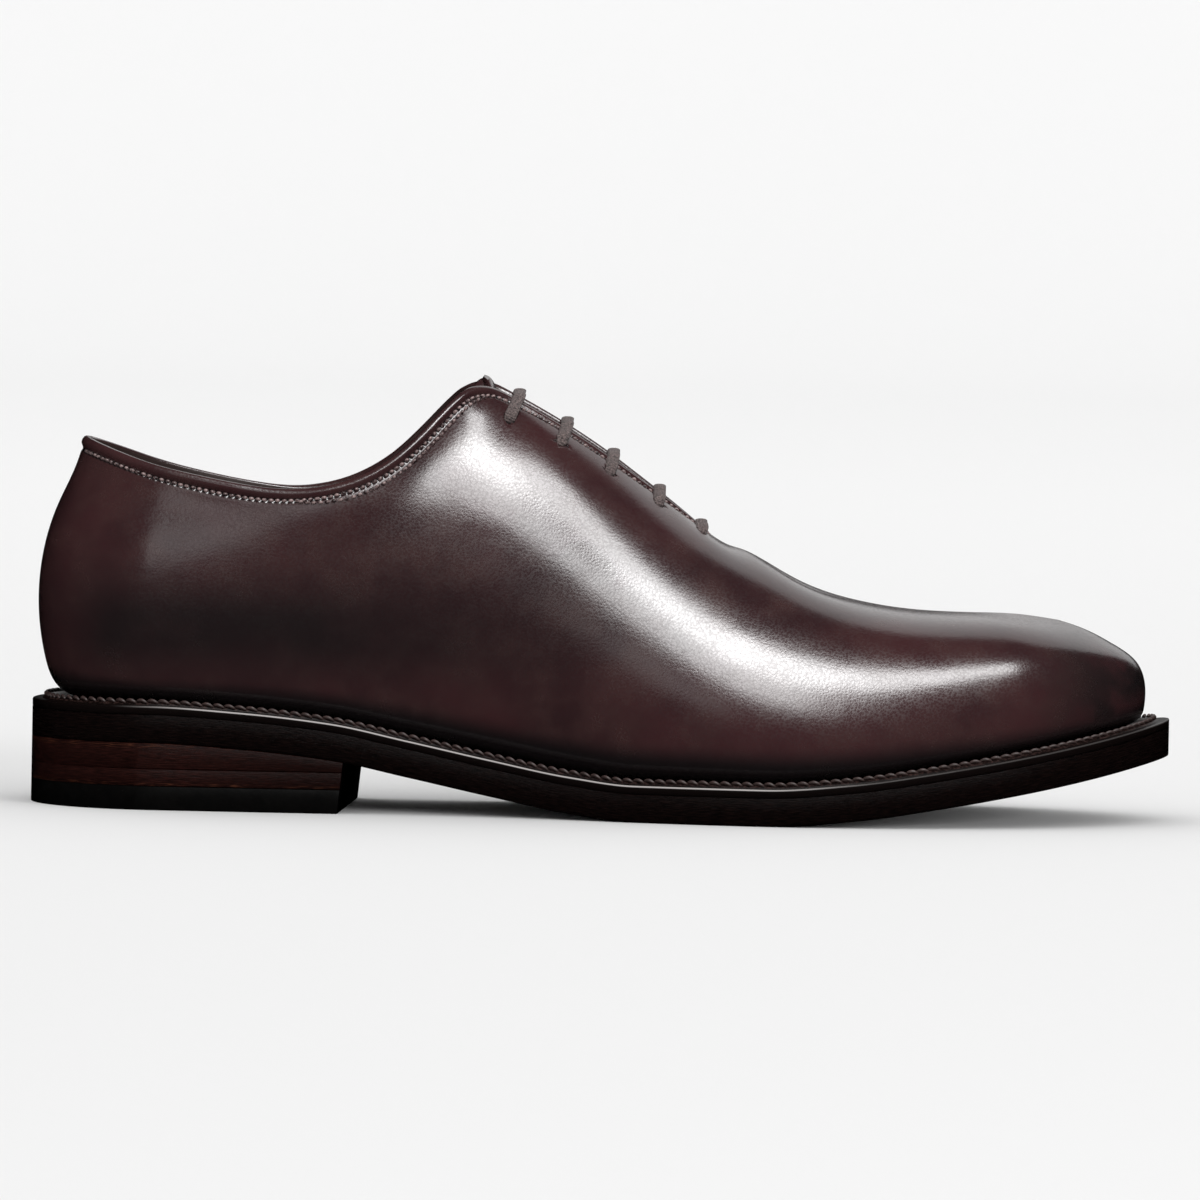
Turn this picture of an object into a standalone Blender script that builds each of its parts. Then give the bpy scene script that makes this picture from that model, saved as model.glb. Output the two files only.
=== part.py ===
"""Whole cut oxford, right shoe: one leather shell on a welted leather sole with a stacked heel.

Lengths are in millimetres and are scaled to metres when a mesh is made.
X runs from heel to toe, Z is up, and Y is positive on the inner (medial) side.
The shoe is first laid out with the back of the heel at X = 0, and then centred.
"""

import math
from collections import namedtuple

import bmesh
import bpy
import numpy as np
from mathutils import Vector

MM = 0.001

# Driving dimensions
LENGTH = 302.0          # back of the welt to the tip of its toe
GAP = 0.3               # clearance where one piece rests on another
SOLE_THICK = 7.2
WELT_THICK = 2.2
RIB_HEIGHT = 1.5        # raised rib of the welt beside the upper
RIM_WIDTH = 2.6         # flat outer rim of the welt, outside its rib
WALL = 2.0              # outer leather and lining together
MARGIN = 8.0            # lasting margin turned in under the upper
INSOLE_THICK = 2.5
FILLING_ROOM = 1.4      # between the margin's edge and the filling below the insole
INSOLE_INSETS = (7.0, 4.8)    # from the feather line to the insole's lower and upper edge
TONGUE_THICK = 2.2
LACE_WIDTH = 3.2
LACE_THICK = 1.5
BAR_DIP = 1.0           # how deep a bar's ends reach into its eyelets
BAR_SIDES = 8
BAR_FORWARD = 2.0       # how far a bar bows towards the toe
BAR_ARCH = 0.03         # rise of a bar's middle, as a share of its middle span
EYELET_RADIUS = 2.2
HEEL_BREAST_LATERAL = 82.0
HEEL_BREAST_MEDIAL = 86.0
BREAST_LEAN = 0.1       # forward lean of the heel's breast, as a share of its height
HEEL_LEAN_REACH = 1.4   # how far that lean takes the heel's top forward
TOP_PIECE_THICK = 6.0
LOWER_LIFT_THICK = 4.2
EDGE_BREAK = 0.5        # small chamfer on sole and welt edges
BEAD_RISE = 0.45        # how far the rolled topline stands out of the wall
BEAD_WIDTH = 2.2

LATERAL, MEDIAL = -1, 1

# The sole's underside along the length, under the shoe's middle line
SoleStation = namedtuple("SoleStation", "x underside")
SOLE_PROFILE = (
    SoleStation(0, 17.6),
    SoleStation(32, 17.6),
    SoleStation(56, 16.4),
    SoleStation(80, 14.0),
    SoleStation(100, 10.0),
    SoleStation(122, 5.5),
    SoleStation(143, 1.7),
    SoleStation(160, 0.0),
    SoleStation(194, 0.0),
    SoleStation(217, 1.7),
    SoleStation(239, 4.9),
    SoleStation(260, 8.6),
    SoleStation(281, 12.8),
    SoleStation(302, 17.6),
)

# The line that half widths are measured from
CentreStation = namedtuple("CentreStation", "x y")
CENTRE_LINE = (
    CentreStation(0, 0.0),
    CentreStation(60, 0.0),
    CentreStation(120, 0.6),
    CentreStation(180, 3.2),
    CentreStation(230, 6.0),
    CentreStation(272, 6.6),
    CentreStation(302, 6.4),
)

# Half widths of the last at each tenth of its length, from the welt's edge up to the crown
Section = namedtuple("Section", "share welt feather low mid high shoulder crown")
LATERAL_SECTIONS = (
    Section(0.0, 35.0, 30.5, 31.0, 30.5, 28.5, 25.5, 21.5),
    Section(0.1, 35.6, 31.2, 32.6, 33.2, 31.2, 27.8, 24.6),
    Section(0.2, 36.2, 31.8, 33.4, 33.8, 32.6, 30.4, 28.4),
    Section(0.3, 36.6, 32.4, 34.2, 34.6, 33.2, 30.6, 28.2),
    Section(0.4, 39.4, 35.2, 37.2, 36.8, 33.4, 26.6, 17.4),
    Section(0.5, 47.0, 42.0, 43.8, 42.4, 36.8, 27.0, 14.6),
    Section(0.6, 55.4, 49.8, 51.4, 49.0, 41.8, 30.0, 14.4),
    Section(0.7, 58.8, 53.0, 54.6, 52.4, 45.2, 33.2, 16.4),
    Section(0.8, 54.8, 49.2, 50.8, 49.4, 44.0, 34.2, 17.4),
    Section(0.9, 45.6, 40.2, 41.6, 41.0, 38.0, 30.6, 16.4),
    Section(1.0, 34.0, 29.6, 31.0, 30.6, 28.6, 23.4, 12.6),
)
MEDIAL_SECTIONS = (
    Section(0.0, 35.0, 30.5, 31.0, 30.5, 28.5, 25.5, 21.5),
    Section(0.1, 34.8, 30.4, 31.8, 32.4, 30.6, 27.4, 24.2),
    Section(0.2, 34.0, 29.6, 31.8, 32.8, 31.8, 29.8, 27.8),
    Section(0.3, 31.8, 27.6, 30.8, 32.8, 32.2, 29.8, 27.4),
    Section(0.4, 30.4, 26.2, 30.6, 33.2, 31.6, 25.6, 16.6),
    Section(0.5, 34.8, 30.0, 34.2, 35.8, 33.0, 25.2, 14.0),
    Section(0.6, 43.0, 37.6, 41.0, 41.4, 37.0, 27.6, 13.8),
    Section(0.7, 49.4, 43.8, 46.2, 45.4, 40.4, 30.8, 15.6),
    Section(0.8, 46.6, 41.0, 43.0, 42.4, 38.8, 31.2, 16.4),
    Section(0.9, 39.6, 34.2, 35.6, 35.2, 32.8, 27.0, 15.0),
    Section(1.0, 30.5, 26.2, 27.6, 27.2, 25.4, 21.0, 11.6),
)

# How high each level stands between feather line and top line
Rise = namedtuple("Rise", "share low mid high shoulder crown")
RISES = (
    Rise(0.0, 0.16, 0.37, 0.57, 0.76, 0.90),
    Rise(0.3, 0.16, 0.36, 0.57, 0.77, 0.91),
    Rise(0.4, 0.15, 0.34, 0.56, 0.78, 0.93),
    Rise(0.5, 0.14, 0.33, 0.56, 0.78, 0.93),
    Rise(0.6, 0.13, 0.32, 0.56, 0.79, 0.94),
    Rise(0.7, 0.13, 0.33, 0.59, 0.84, 0.98),
    Rise(0.8, 0.14, 0.36, 0.64, 0.88, 0.985),
    Rise(0.9, 0.15, 0.38, 0.66, 0.89, 0.985),
    Rise(1.0, 0.17, 0.41, 0.64, 0.79, 0.93),
)

# Where each level starts behind the heel and ends at the toe, and how its plan is rounded there
Level = namedtuple("Level", "name back front heel_round toe_round")
LEVELS = (
    Level("welt", 0.0, 302.0, 35.0, 46.0),
    Level("feather", 6.2, 294.6, 31.0, 41.0),
    Level("low", 2.4, 295.5, 32.0, 42.0),
    Level("mid", 0.6, 295.7, 32.0, 42.0),
    Level("high", 1.8, 293.2, 31.0, 40.0),
    Level("shoulder", 5.7, 285.8, 28.0, 34.0),
    Level("crown", 11.2, 279.0, 25.0, 28.0),
    Level("top", 12.4, 272.0, 24.0, 16.0),
)
HEEL_POWER = 2.1
TOE_POWER = 2.15

# The top line: collar edge, facing edge, and then the ridge of the vamp, where both sides meet
TopStation = namedtuple("TopStation", "x z lateral medial medial_rise")
TOP_LINE = (
    TopStation(12.4, 96.4, 20.5, 20.5, 0.0),
    TopStation(21, 93.4, 21.5, 21.5, 0.0),
    TopStation(31, 90.2, 22.8, 22.8, -0.2),
    TopStation(43, 87.4, 25.2, 25.2, -0.7),
    TopStation(56, 85.2, 27.0, 27.0, -1.0),
    TopStation(66, 84.5, 27.6, 27.4, -1.0),
    TopStation(76, 85.3, 27.8, 27.4, -0.8),
    TopStation(85, 87.8, 27.3, 27.0, -0.4),
    TopStation(95, 93.4, 25.6, 25.2, 0.2),
    TopStation(104, 101.6, 21.8, 21.4, 0.7),
    TopStation(110.5, 108.6, 17.0, 16.8, 0.6),
    TopStation(114, 111.4, 13.6, 13.4, 0.4),
    TopStation(117.5, 112.2, 10.2, 10.2, 0.7),
    TopStation(121, 111.6, 7.8, 7.8, 0.8),
    TopStation(125, 109.7, 6.6, 6.6, 0.9),
    TopStation(131, 106.5, 6.0, 6.0, 1.0),
    TopStation(149, 95.7, 4.4, 4.4, 1.0),
    TopStation(162, 86.6, 2.8, 2.8, 0.6),
    TopStation(175, 76.8, 1.2, 1.2, 0.0),
    TopStation(181, 72.2, 0.0, 0.0, 0.0),
    TopStation(188, 69.9, 0.0, 0.0, 0.0),
    TopStation(200, 62.4, 0.0, 0.0, 0.0),
    TopStation(213, 57.8, 0.0, 0.0, 0.0),
    TopStation(230, 54.9, 0.0, 0.0, 0.0),
    TopStation(250, 54.4, 0.0, 0.0, 0.0),
    TopStation(262, 54.1, 0.0, 0.0, 0.0),
    TopStation(272, 52.8, 0.0, 0.0, 0.0),
)
# The height that the levels below the top line are shares of: the top line without its local bends
HeadStation = namedtuple("HeadStation", "x z")
HEAD_LINE = (
    HeadStation(12.4, 96.4),
    HeadStation(40, 89.6),
    HeadStation(66, 87.4),
    HeadStation(90, 92.4),
    HeadStation(117.5, 110.0),
    HeadStation(150, 95.6),
    HeadStation(181, 73.6),
    HeadStation(213, 58.0),
    HeadStation(245, 54.5),
    HeadStation(272, 52.8),
)
THROAT_END = 181.0      # where the two facings meet
CORNER_START, CORNER_END = 94.0, 128.0    # the collar's turn into the facing

EYELET_X = (123.6, 137.0, 149.9, 162.8, 174.4)
EYELET_INSET = 9.7     # from the facing's edge along the leather, at the top pair
EYELET_INSET_LAST = 8.6

TONGUE_REACH = (18.0, 13.0, 8.0, 3.5)     # across the tongue, measured from the facing's edge
TONGUE_TOP = (117.0, 114.7)               # X and Z of its pointed end
LACE_ROOM = 2.5                           # between tongue and facings, for the lace below them
ARCH = 0.09                               # rise of the tongue's middle, as a share of its middle span
TongueStation = namedtuple("TongueStation", "x room arch")
TONGUE_STATIONS = (
    TongueStation(124, LACE_ROOM, ARCH),
    TongueStation(133, LACE_ROOM, ARCH),
    TongueStation(143, LACE_ROOM, ARCH),
    TongueStation(154, LACE_ROOM, ARCH),
    TongueStation(164, LACE_ROOM, ARCH),
    TongueStation(173, LACE_ROOM, ARCH / 2),
    TongueStation(181, 2.0, 0.0),
    TongueStation(188, 1.2, 0.0),
)
TongueEnd = namedtuple("TongueEnd", "reach width")
TONGUE_END = (TongueEnd(1.0, 0.10), TongueEnd(0.72, 0.45), TongueEnd(0.38, 0.82))

DEGREE = 3              # of the ribs' splines
COLUMNS = 37            # ribs on each side of the upper, before the extra ones at the collar's corner
CORNER_STEP = 3.0
BODY_ROWS = (0.0, 0.035, 0.075, 0.12, 0.19, 0.29, 0.39, 0.49, 0.59, 0.69, 0.78, 0.86, 0.93, 1.0)
BEAD_ROWS = ((1.7, 1.0), (0.6, 1.0), (0.0, 0.0))     # distance from the edge, share of the rise
OUTLINE_COLUMNS = 42
HEEL_COLUMNS = 22
EYELET_SIDES = 10
PEG_LENGTH = 9.0        # of the eyelets' cutters, well over the wall
RIB_SAMPLES = 400       # steps along a rib when a distance is measured down the leather
NEAR_SHARE = 0.004      # step along the top line when a facing's slope is measured
RIB_SLOPE = 0.2         # sloped part of the welt's rib on each side, as a share of its width

Finish = namedtuple("Finish", "name colour roughness")
LEATHER = Finish("upper_leather", (0.075, 0.030, 0.033), 0.25)
LINING = Finish("lining_leather", (0.090, 0.050, 0.040), 0.55)
SOLE_EDGE = Finish("sole_leather", (0.012, 0.009, 0.008), 0.35)
STACK = Finish("heel_stack_leather", (0.045, 0.016, 0.010), 0.40)
RUBBER = Finish("rubber", (0.010, 0.010, 0.011), 0.60)
CORD = Finish("waxed_cotton", (0.110, 0.085, 0.085), 0.70)


def natural_spline(knots, values):
    """A curve through the values whose bend is smooth everywhere and nil at both ends."""
    knots, values = np.asarray(knots, float), np.asarray(values, float)
    count, gaps = len(knots), np.diff(knots)
    slopes = np.diff(values) / gaps
    matrix, right = np.eye(count), np.zeros(count)
    for i in range(1, count - 1):
        matrix[i, i - 1:i + 2] = gaps[i - 1], 2 * (gaps[i - 1] + gaps[i]), gaps[i]
        right[i] = 6 * (slopes[i] - slopes[i - 1])
    bends = np.linalg.solve(matrix, right)

    def curve(x):
        x = np.clip(np.asarray(x, float), knots[0], knots[-1])
        i = np.clip(np.searchsorted(knots, x) - 1, 0, count - 2)
        after = (x - knots[i]) / gaps[i]
        before = 1 - after
        bend = (before**3 - before) * bends[i] + (after**3 - after) * bends[i + 1]
        return before * values[i] + after * values[i + 1] + bend * gaps[i] ** 2 / 6

    return curve


def level_spline(knots, values):
    """A curve through the values that never overshoots them, so that a level stretch stays level."""
    knots, values = np.asarray(knots, float), np.asarray(values, float)
    gaps = np.diff(knots)
    slopes = np.diff(values) / gaps
    tangents = np.concatenate([slopes[:1], np.zeros(len(knots) - 2), slopes[-1:]])
    for i in range(1, len(knots) - 1):
        before, after = slopes[i - 1], slopes[i]
        if before * after > 0:
            near, far = 2 * gaps[i] + gaps[i - 1], gaps[i] + 2 * gaps[i - 1]
            tangents[i] = (near + far) / (near / before + far / after)

    def curve(x):
        x = np.clip(np.asarray(x, float), knots[0], knots[-1])
        i = np.clip(np.searchsorted(knots, x) - 1, 0, len(knots) - 2)
        u = (x - knots[i]) / gaps[i]
        ends = (1 + 2 * u) * (1 - u) ** 2 * values[i] + u**2 * (3 - 2 * u) * values[i + 1]
        leans = u * (1 - u) ** 2 * tangents[i] - u**2 * (1 - u) * tangents[i + 1]
        return ends + leans * gaps[i]

    return curve


def columns_of(table, kind, key):
    """One curve for each column of a table, by the column's name."""
    keys = [getattr(row, key) for row in table]
    names = [name for name in table[0]._fields if name != key]
    return {name: kind(keys, [getattr(row, name) for row in table]) for name in names}


underside = columns_of(SOLE_PROFILE, level_spline, "x")["underside"]
centre_y = columns_of(CENTRE_LINE, natural_spline, "x")["y"]
WIDTHS = {
    LATERAL: columns_of(LATERAL_SECTIONS, natural_spline, "share"),
    MEDIAL: columns_of(MEDIAL_SECTIONS, natural_spline, "share"),
}
HEIGHTS = columns_of(RISES, level_spline, "share")
TOP_HEIGHT = columns_of(TOP_LINE, natural_spline, "x")["z"]
HEAD_HEIGHT = columns_of(HEAD_LINE, natural_spline, "x")["z"]
TOP_WIDTHS = columns_of(TOP_LINE, level_spline, "x")
LEVEL = {level.name: level for level in LEVELS}
BODY_LEVELS = ("low", "mid", "high", "shoulder", "crown")


def seat_height(x):
    """Top of the welt's inner part, where the upper's margin rests."""
    return underside(x) + SOLE_THICK + WELT_THICK + 2 * GAP


def rounding(distance, radius, power):
    """Share of its full width that a plan outline has at this distance from its end."""
    inside = np.clip(1 - np.asarray(distance, float) / radius, 0, 1)
    return (1 - inside**power) ** (1 / power)


def plan(name, side, share, inset=0.0):
    """X and Y of a level's outline at these shares of its length. An inset shrinks it all round."""
    level = LEVEL[name]
    back, front = level.back + inset, level.front - inset
    x = back + (front - back) * share
    if name == "top":
        width = TOP_WIDTHS["lateral" if side == LATERAL else "medial"](x)
    else:
        width = WIDTHS[side][name](share) - inset
    width = width * rounding(x - back, level.heel_round - inset / 2, HEEL_POWER)
    width = width * rounding(front - x, level.toe_round - inset / 2, TOE_POWER)
    return x, centre_y(x) + side * width


def rib_controls(side, share):
    """Control points of the ribs at these shares of the length, from the lasting margin up to the top line."""
    margin_x, margin_y = plan("feather", side, share, MARGIN)
    feather_x, feather_y = plan("feather", side, share)
    top_x, top_y = plan("top", side, share)
    foot = seat_height(feather_x)
    rise = TOP_WIDTHS["medial_rise"](top_x) * (side == MEDIAL)
    points = [(margin_x, margin_y, seat_height(margin_x)), (feather_x, feather_y, foot)]
    for name in BODY_LEVELS:
        x, y = plan(name, side, share)
        points.append((x, y, foot + (HEAD_HEIGHT(top_x) - foot) * HEIGHTS[name](share)))
    points.append((top_x, top_y, TOP_HEIGHT(top_x) + rise))
    return np.array([np.stack(np.broadcast_arrays(*point), -1) for point in points])


def spline_weights(t, count):
    """Weight of each of count control points on a clamped cubic B-spline at parameters t from 0 to 1."""
    spans = count - DEGREE
    knots = np.concatenate([np.zeros(DEGREE), np.linspace(0, 1, spans + 1), np.ones(DEGREE)])
    t = np.asarray(t, float)[..., None]
    last = (knots[:-1] == knots[-DEGREE - 2]) & (t >= 1)
    weights = (((knots[:-1] <= t) & (t < knots[1:])) | last).astype(float)
    for degree in range(1, DEGREE + 1):
        low, high = knots[:-degree - 1], knots[degree + 1:]
        rise = np.where(knots[degree:-1] > low, knots[degree:-1] - low, 1)
        fall = np.where(high > knots[1:-degree], high - knots[1:-degree], 1)
        weights = (t - low) / rise * weights[..., :-1] + (high - t) / fall * weights[..., 1:]
    return weights


def upper_points(side, share, rows, bead_rows):
    """Points of the upper's outer face: a grid of ribs by rows, and each row's rise as a bead."""
    controls = rib_controls(side, share)
    count = len(controls)
    end_speed = DEGREE * (count - DEGREE) * np.linalg.norm(controls[-1] - controls[-2], axis=-1)
    bead_start = 1 - BEAD_WIDTH / end_speed
    steps = [bead_start * row for row in rows] + [1 - away / end_speed for away, _ in bead_rows]
    weights = spline_weights(np.stack(steps, -1), count)
    points = np.einsum("srk,ksd->srd", weights, controls)
    fade = np.clip((THROAT_END - controls[-1][:, 0]) / BEAD_WIDTH / 2, 0, 1)
    rises = np.array([0.0] * len(rows) + [rise for _, rise in bead_rows])
    return points, fade[:, None] * rises * BEAD_RISE


def top_share(x):
    """Share of the length at which a rib ends at this X on the top line."""
    top = LEVEL["top"]
    return (np.asarray(x, float) - top.back) / (top.front - top.back)


def rib_shares():
    """Shares of the length that carry a rib: closer at heel and toe, and at the collar's corner."""
    even = np.sin(np.linspace(0, math.pi / 2, COLUMNS + 1)) ** 2
    low, high = top_share(CORNER_START), top_share(CORNER_END)
    corner = top_share(np.arange(CORNER_START, CORNER_END + CORNER_STEP / 2, CORNER_STEP))
    throat = top_share(THROAT_END)
    keep = (even < low - 0.01) | (even > high + 0.01)
    keep &= abs(even - throat) > 0.015
    return np.sort(np.concatenate([even[keep], corner, [throat]]))


def outline_shares(count):
    """Shares of the length for an outline: closer together where it rounds the heel and the toe."""
    return np.sin((np.arange(count) + 0.5) / count * math.pi / 2) ** 2


def ring(name, shares, inset=0.0):
    """A closed plan outline: heel to toe on the lateral side and back on the medial side."""
    lateral = np.stack(plan(name, LATERAL, shares, inset), -1)
    medial = np.stack(plan(name, MEDIAL, shares, inset), -1)
    return np.concatenate([lateral, medial[::-1]])


def moved_inward(outline, distance):
    """The outline moved square to itself, towards its inside."""
    along = np.roll(outline, -1, 0) - np.roll(outline, 1, 0)
    along /= np.linalg.norm(along, axis=1)[:, None]
    return outline + distance * np.stack([-along[:, 1], along[:, 0]], -1)


WELT_RING = ring("welt", outline_shares(OUTLINE_COLUMNS))
ORIGIN = np.append((WELT_RING.min(0) + WELT_RING.max(0)) / 2, 0.0)


def material(finish):
    """The Principled material of a finish, made once."""
    made = bpy.data.materials.get(finish.name)
    if made is None:
        made = bpy.data.materials.new(finish.name)
        made.use_nodes = True
        shader = made.node_tree.nodes["Principled BSDF"]
        shader.inputs["Base Color"].default_value = (*finish.colour, 1)
        shader.inputs["Roughness"].default_value = finish.roughness
        shader.inputs["Metallic"].default_value = 0.0
    return made


def add_solid(name, points, faces, finish, crease_angle=35):
    """A closed solid from points in the shoe's layout, in millimetres, and faces as point numbers."""
    mesh = bpy.data.meshes.new(name)
    centred = (np.asarray(points, float) - ORIGIN) * MM
    mesh.from_pydata([Vector(p) for p in centred], [], [list(map(int, f)) for f in faces])
    work = bmesh.new()
    work.from_mesh(mesh)
    bmesh.ops.recalc_face_normals(work, faces=work.faces)
    work.to_mesh(mesh)
    work.free()
    mesh.shade_smooth()
    mesh.set_sharp_from_angle(angle=math.radians(crease_angle))
    mesh.materials.append(material(finish))
    made = bpy.data.objects.new(name, mesh)
    bpy.context.scene.collection.objects.link(made)
    return made


def skinned(loops, closed=False):
    """Points and faces of a skin over loops that all hold as many points. Open ones are capped."""
    count, size = len(loops), len(loops[0])
    points = np.concatenate(loops)
    faces = []
    for i in range(count if closed else count - 1):
        here, there = i * size, (i + 1) % count * size
        for j in range(size):
            k = (j + 1) % size
            faces.append((here + j, here + k, there + k, there + j))
    if not closed:
        faces.append(range(size))
        faces.append(range((count - 1) * size, count * size))
    return points, faces


def with_height(outline, height):
    """Plan points with a height each."""
    return np.column_stack([outline, np.broadcast_to(height, len(outline))])


def upper_grid():
    """The upper's outer face: points, each point's rise as a bead, and four-sided faces."""
    shares = rib_shares()
    numbers, points, rises, faces = {}, [], [], []
    for side in (LATERAL, MEDIAL):
        grid, bead = upper_points(side, shares, BODY_ROWS, BEAD_ROWS)
        table = np.empty(grid.shape[:2], int)
        for place in np.ndindex(*table.shape):
            key = tuple(np.round(grid[place], 3) + 0.0)
            if key not in numbers:
                numbers[key] = len(points)
                points.append(grid[place])
                rises.append(bead[place])
            table[place] = numbers[key]
        for i, j in np.ndindex(table.shape[0] - 1, table.shape[1] - 1):
            face = (table[i, j], table[i + 1, j], table[i + 1, j + 1], table[i, j + 1])
            faces.append(face[::-side])
    return np.array(points), np.array(rises), faces


def outward_normals(points, faces):
    """Each point's normal on an open skin."""
    mesh = bpy.data.meshes.new("skin")
    mesh.from_pydata([Vector(p) for p in points], [], [list(map(int, f)) for f in faces])
    normals = np.array([vertex.normal for vertex in mesh.vertices])
    bpy.data.meshes.remove(mesh)
    return normals


def edge_loops(faces):
    """Directed edges that only one face has."""
    edges = {}
    for face in faces:
        for a, b in zip(face, (*face[1:], face[0])):
            edges[(a, b)] = edges.get((a, b), 0) + 1
    return [(a, b) for a, b in edges if (b, a) not in edges]


def upper_shell():
    """One hollow wall, open at collar and throat and underneath."""
    skin, rises, faces = upper_grid()
    normals = outward_normals(skin, faces)
    outer = skin + normals * rises[:, None]
    inner = skin - normals * WALL
    count = len(skin)
    closed = [tuple(face) for face in faces]
    closed += [tuple(count + i for i in face[::-1]) for face in faces]
    closed += [(b, a, count + a, count + b) for a, b in edge_loops(faces)]
    return add_solid("upper", np.concatenate([outer, inner]), closed, LEATHER)


def below_edge(side, x, distance):
    """Point and outward normal on the facing, this far down the leather from its edge at X."""
    share = top_share(x)
    controls = rib_controls(side, np.array([share - NEAR_SHARE, share, share + NEAR_SHARE]))
    weights = spline_weights(np.linspace(1, 0, RIB_SAMPLES), len(controls))
    ribs = np.einsum("rk,ksd->srd", weights, controls)
    travelled = np.cumsum(np.linalg.norm(np.diff(ribs[1], axis=0), axis=1))
    row = max(int(np.searchsorted(travelled, distance)), 1)
    along = ribs[2, row] - ribs[0, row]
    down = ribs[1, row + 1] - ribs[1, row - 1]
    normal = np.cross(along, down) * side
    normal /= np.linalg.norm(normal)
    return ribs[1, row], normal


def eyelet_inset(x):
    """Distance of an eyelet from the facing's edge: less towards the throat's narrow end."""
    reach = (x - EYELET_X[0]) / (EYELET_X[-1] - EYELET_X[0])
    return EYELET_INSET + (EYELET_INSET_LAST - EYELET_INSET) * reach


def eyelet_cutters():
    """One joined cutter of a round peg for each eyelet."""
    cutter = bmesh.new()
    for x in EYELET_X:
        for side in (LATERAL, MEDIAL):
            centre, normal = below_edge(side, x, eyelet_inset(x))
            turn = Vector(normal).to_track_quat("Z", "Y").to_matrix().to_4x4()
            turn.translation = Vector((centre - ORIGIN) * MM)
            bmesh.ops.create_cone(
                cutter, cap_ends=True, segments=EYELET_SIDES, matrix=turn, depth=PEG_LENGTH * MM,
                radius1=EYELET_RADIUS * MM, radius2=EYELET_RADIUS * MM)
    mesh = bpy.data.meshes.new("eyelet_cutters")
    cutter.to_mesh(mesh)
    cutter.free()
    made = bpy.data.objects.new("eyelet_cutters", mesh)
    made.hide_render = True
    made.display_type = "WIRE"
    bpy.context.scene.collection.objects.link(made)
    return made


def cut_eyelets(shell):
    """Ten round holes punched through the facings."""
    cut = shell.modifiers.new("eyelets", "BOOLEAN")
    cut.operation = "DIFFERENCE"
    cut.solver = "EXACT"
    cut.object = eyelet_cutters()


def outsole():
    """A sole of even thickness that follows the arch and the toe spring."""
    shares = outline_shares(OUTLINE_COLUMNS)
    loops = []
    for share in shares:
        lateral = np.array(plan("welt", LATERAL, share))
        medial = np.array(plan("welt", MEDIAL, share))
        across = (medial - lateral) / np.linalg.norm(medial - lateral)
        under = underside(lateral[0])
        rows = (
            (lateral + across * EDGE_BREAK, 0.0), (lateral, EDGE_BREAK), (lateral, SOLE_THICK),
            (medial, SOLE_THICK), (medial, EDGE_BREAK), (medial - across * EDGE_BREAK, 0.0))
        loops.append(np.array([(*place, under + up) for place, up in rows]))
    return add_solid("outsole", *skinned(loops), SOLE_EDGE)


def welt():
    """A ring under the upper's margin, with a flat rim and a raised rib outside the upper."""
    feather = ring("feather", outline_shares(OUTLINE_COLUMNS))
    rim = moved_inward(WELT_RING, RIM_WIDTH)
    rib_inner = moved_inward(feather, -GAP * 1.5)
    inner = moved_inward(feather, MARGIN - 1)
    rib = WELT_THICK + RIB_HEIGHT
    rows = (
        (WELT_RING, 0.0),
        (WELT_RING, WELT_THICK - EDGE_BREAK),
        (moved_inward(WELT_RING, EDGE_BREAK), WELT_THICK),
        (rim, WELT_THICK),
        (rim + (rib_inner - rim) * RIB_SLOPE, rib),
        (rib_inner + (rim - rib_inner) * RIB_SLOPE, rib),
        (rib_inner, WELT_THICK),
        (inner, WELT_THICK),
        (inner, 0.0))
    rings = []
    for outline, up in rows:
        height = underside(outline[:, 0]) + SOLE_THICK + GAP + up
        rings.append(with_height(outline, height))
    loops = [np.array(points) for points in zip(*rings)]
    return add_solid("welt", *skinned(loops, closed=True), SOLE_EDGE)


def heel_layer(name, floor, ceiling, finish):
    """One layer of the heel, square to the floor below and meeting a height function above."""
    loops = []
    for i in range(HEEL_COLUMNS):
        reach = ((i + 0.5) / (HEEL_COLUMNS - 0.5)) ** 2
        lateral = np.array(plan("welt", LATERAL, reach * HEEL_BREAST_LATERAL / LENGTH))
        medial = np.array(plan("welt", MEDIAL, reach * HEEL_BREAST_MEDIAL / LENGTH))
        across = (medial - lateral) / np.linalg.norm(medial - lateral)
        rows = []
        for place, edge in ((lateral, across), (medial, -across)):
            top = ceiling(place[0] + HEEL_LEAN_REACH * reach)
            rows.append(((place + edge * EDGE_BREAK, floor), (place, floor + EDGE_BREAK), (place, top)))
        around = (*rows[0], *rows[1][::-1])
        loops.append(np.array([(x + reach * BREAST_LEAN * z, y, z) for (x, y), z in around]))
    return add_solid(name, *skinned(loops), finish)


def heel():
    """Top piece, lower lift, and an upper lift that follows the sole's underside."""
    lower_lift = TOP_PIECE_THICK + GAP
    upper_lift = lower_lift + LOWER_LIFT_THICK + GAP
    heel_layer("heel_top_piece", 0.0, lambda x: TOP_PIECE_THICK, RUBBER)
    heel_layer("heel_lift_lower", lower_lift, lambda x: lower_lift + LOWER_LIFT_THICK, STACK)
    heel_layer("heel_lift_upper", upper_lift, lambda x: underside(x) - GAP, STACK)


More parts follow.
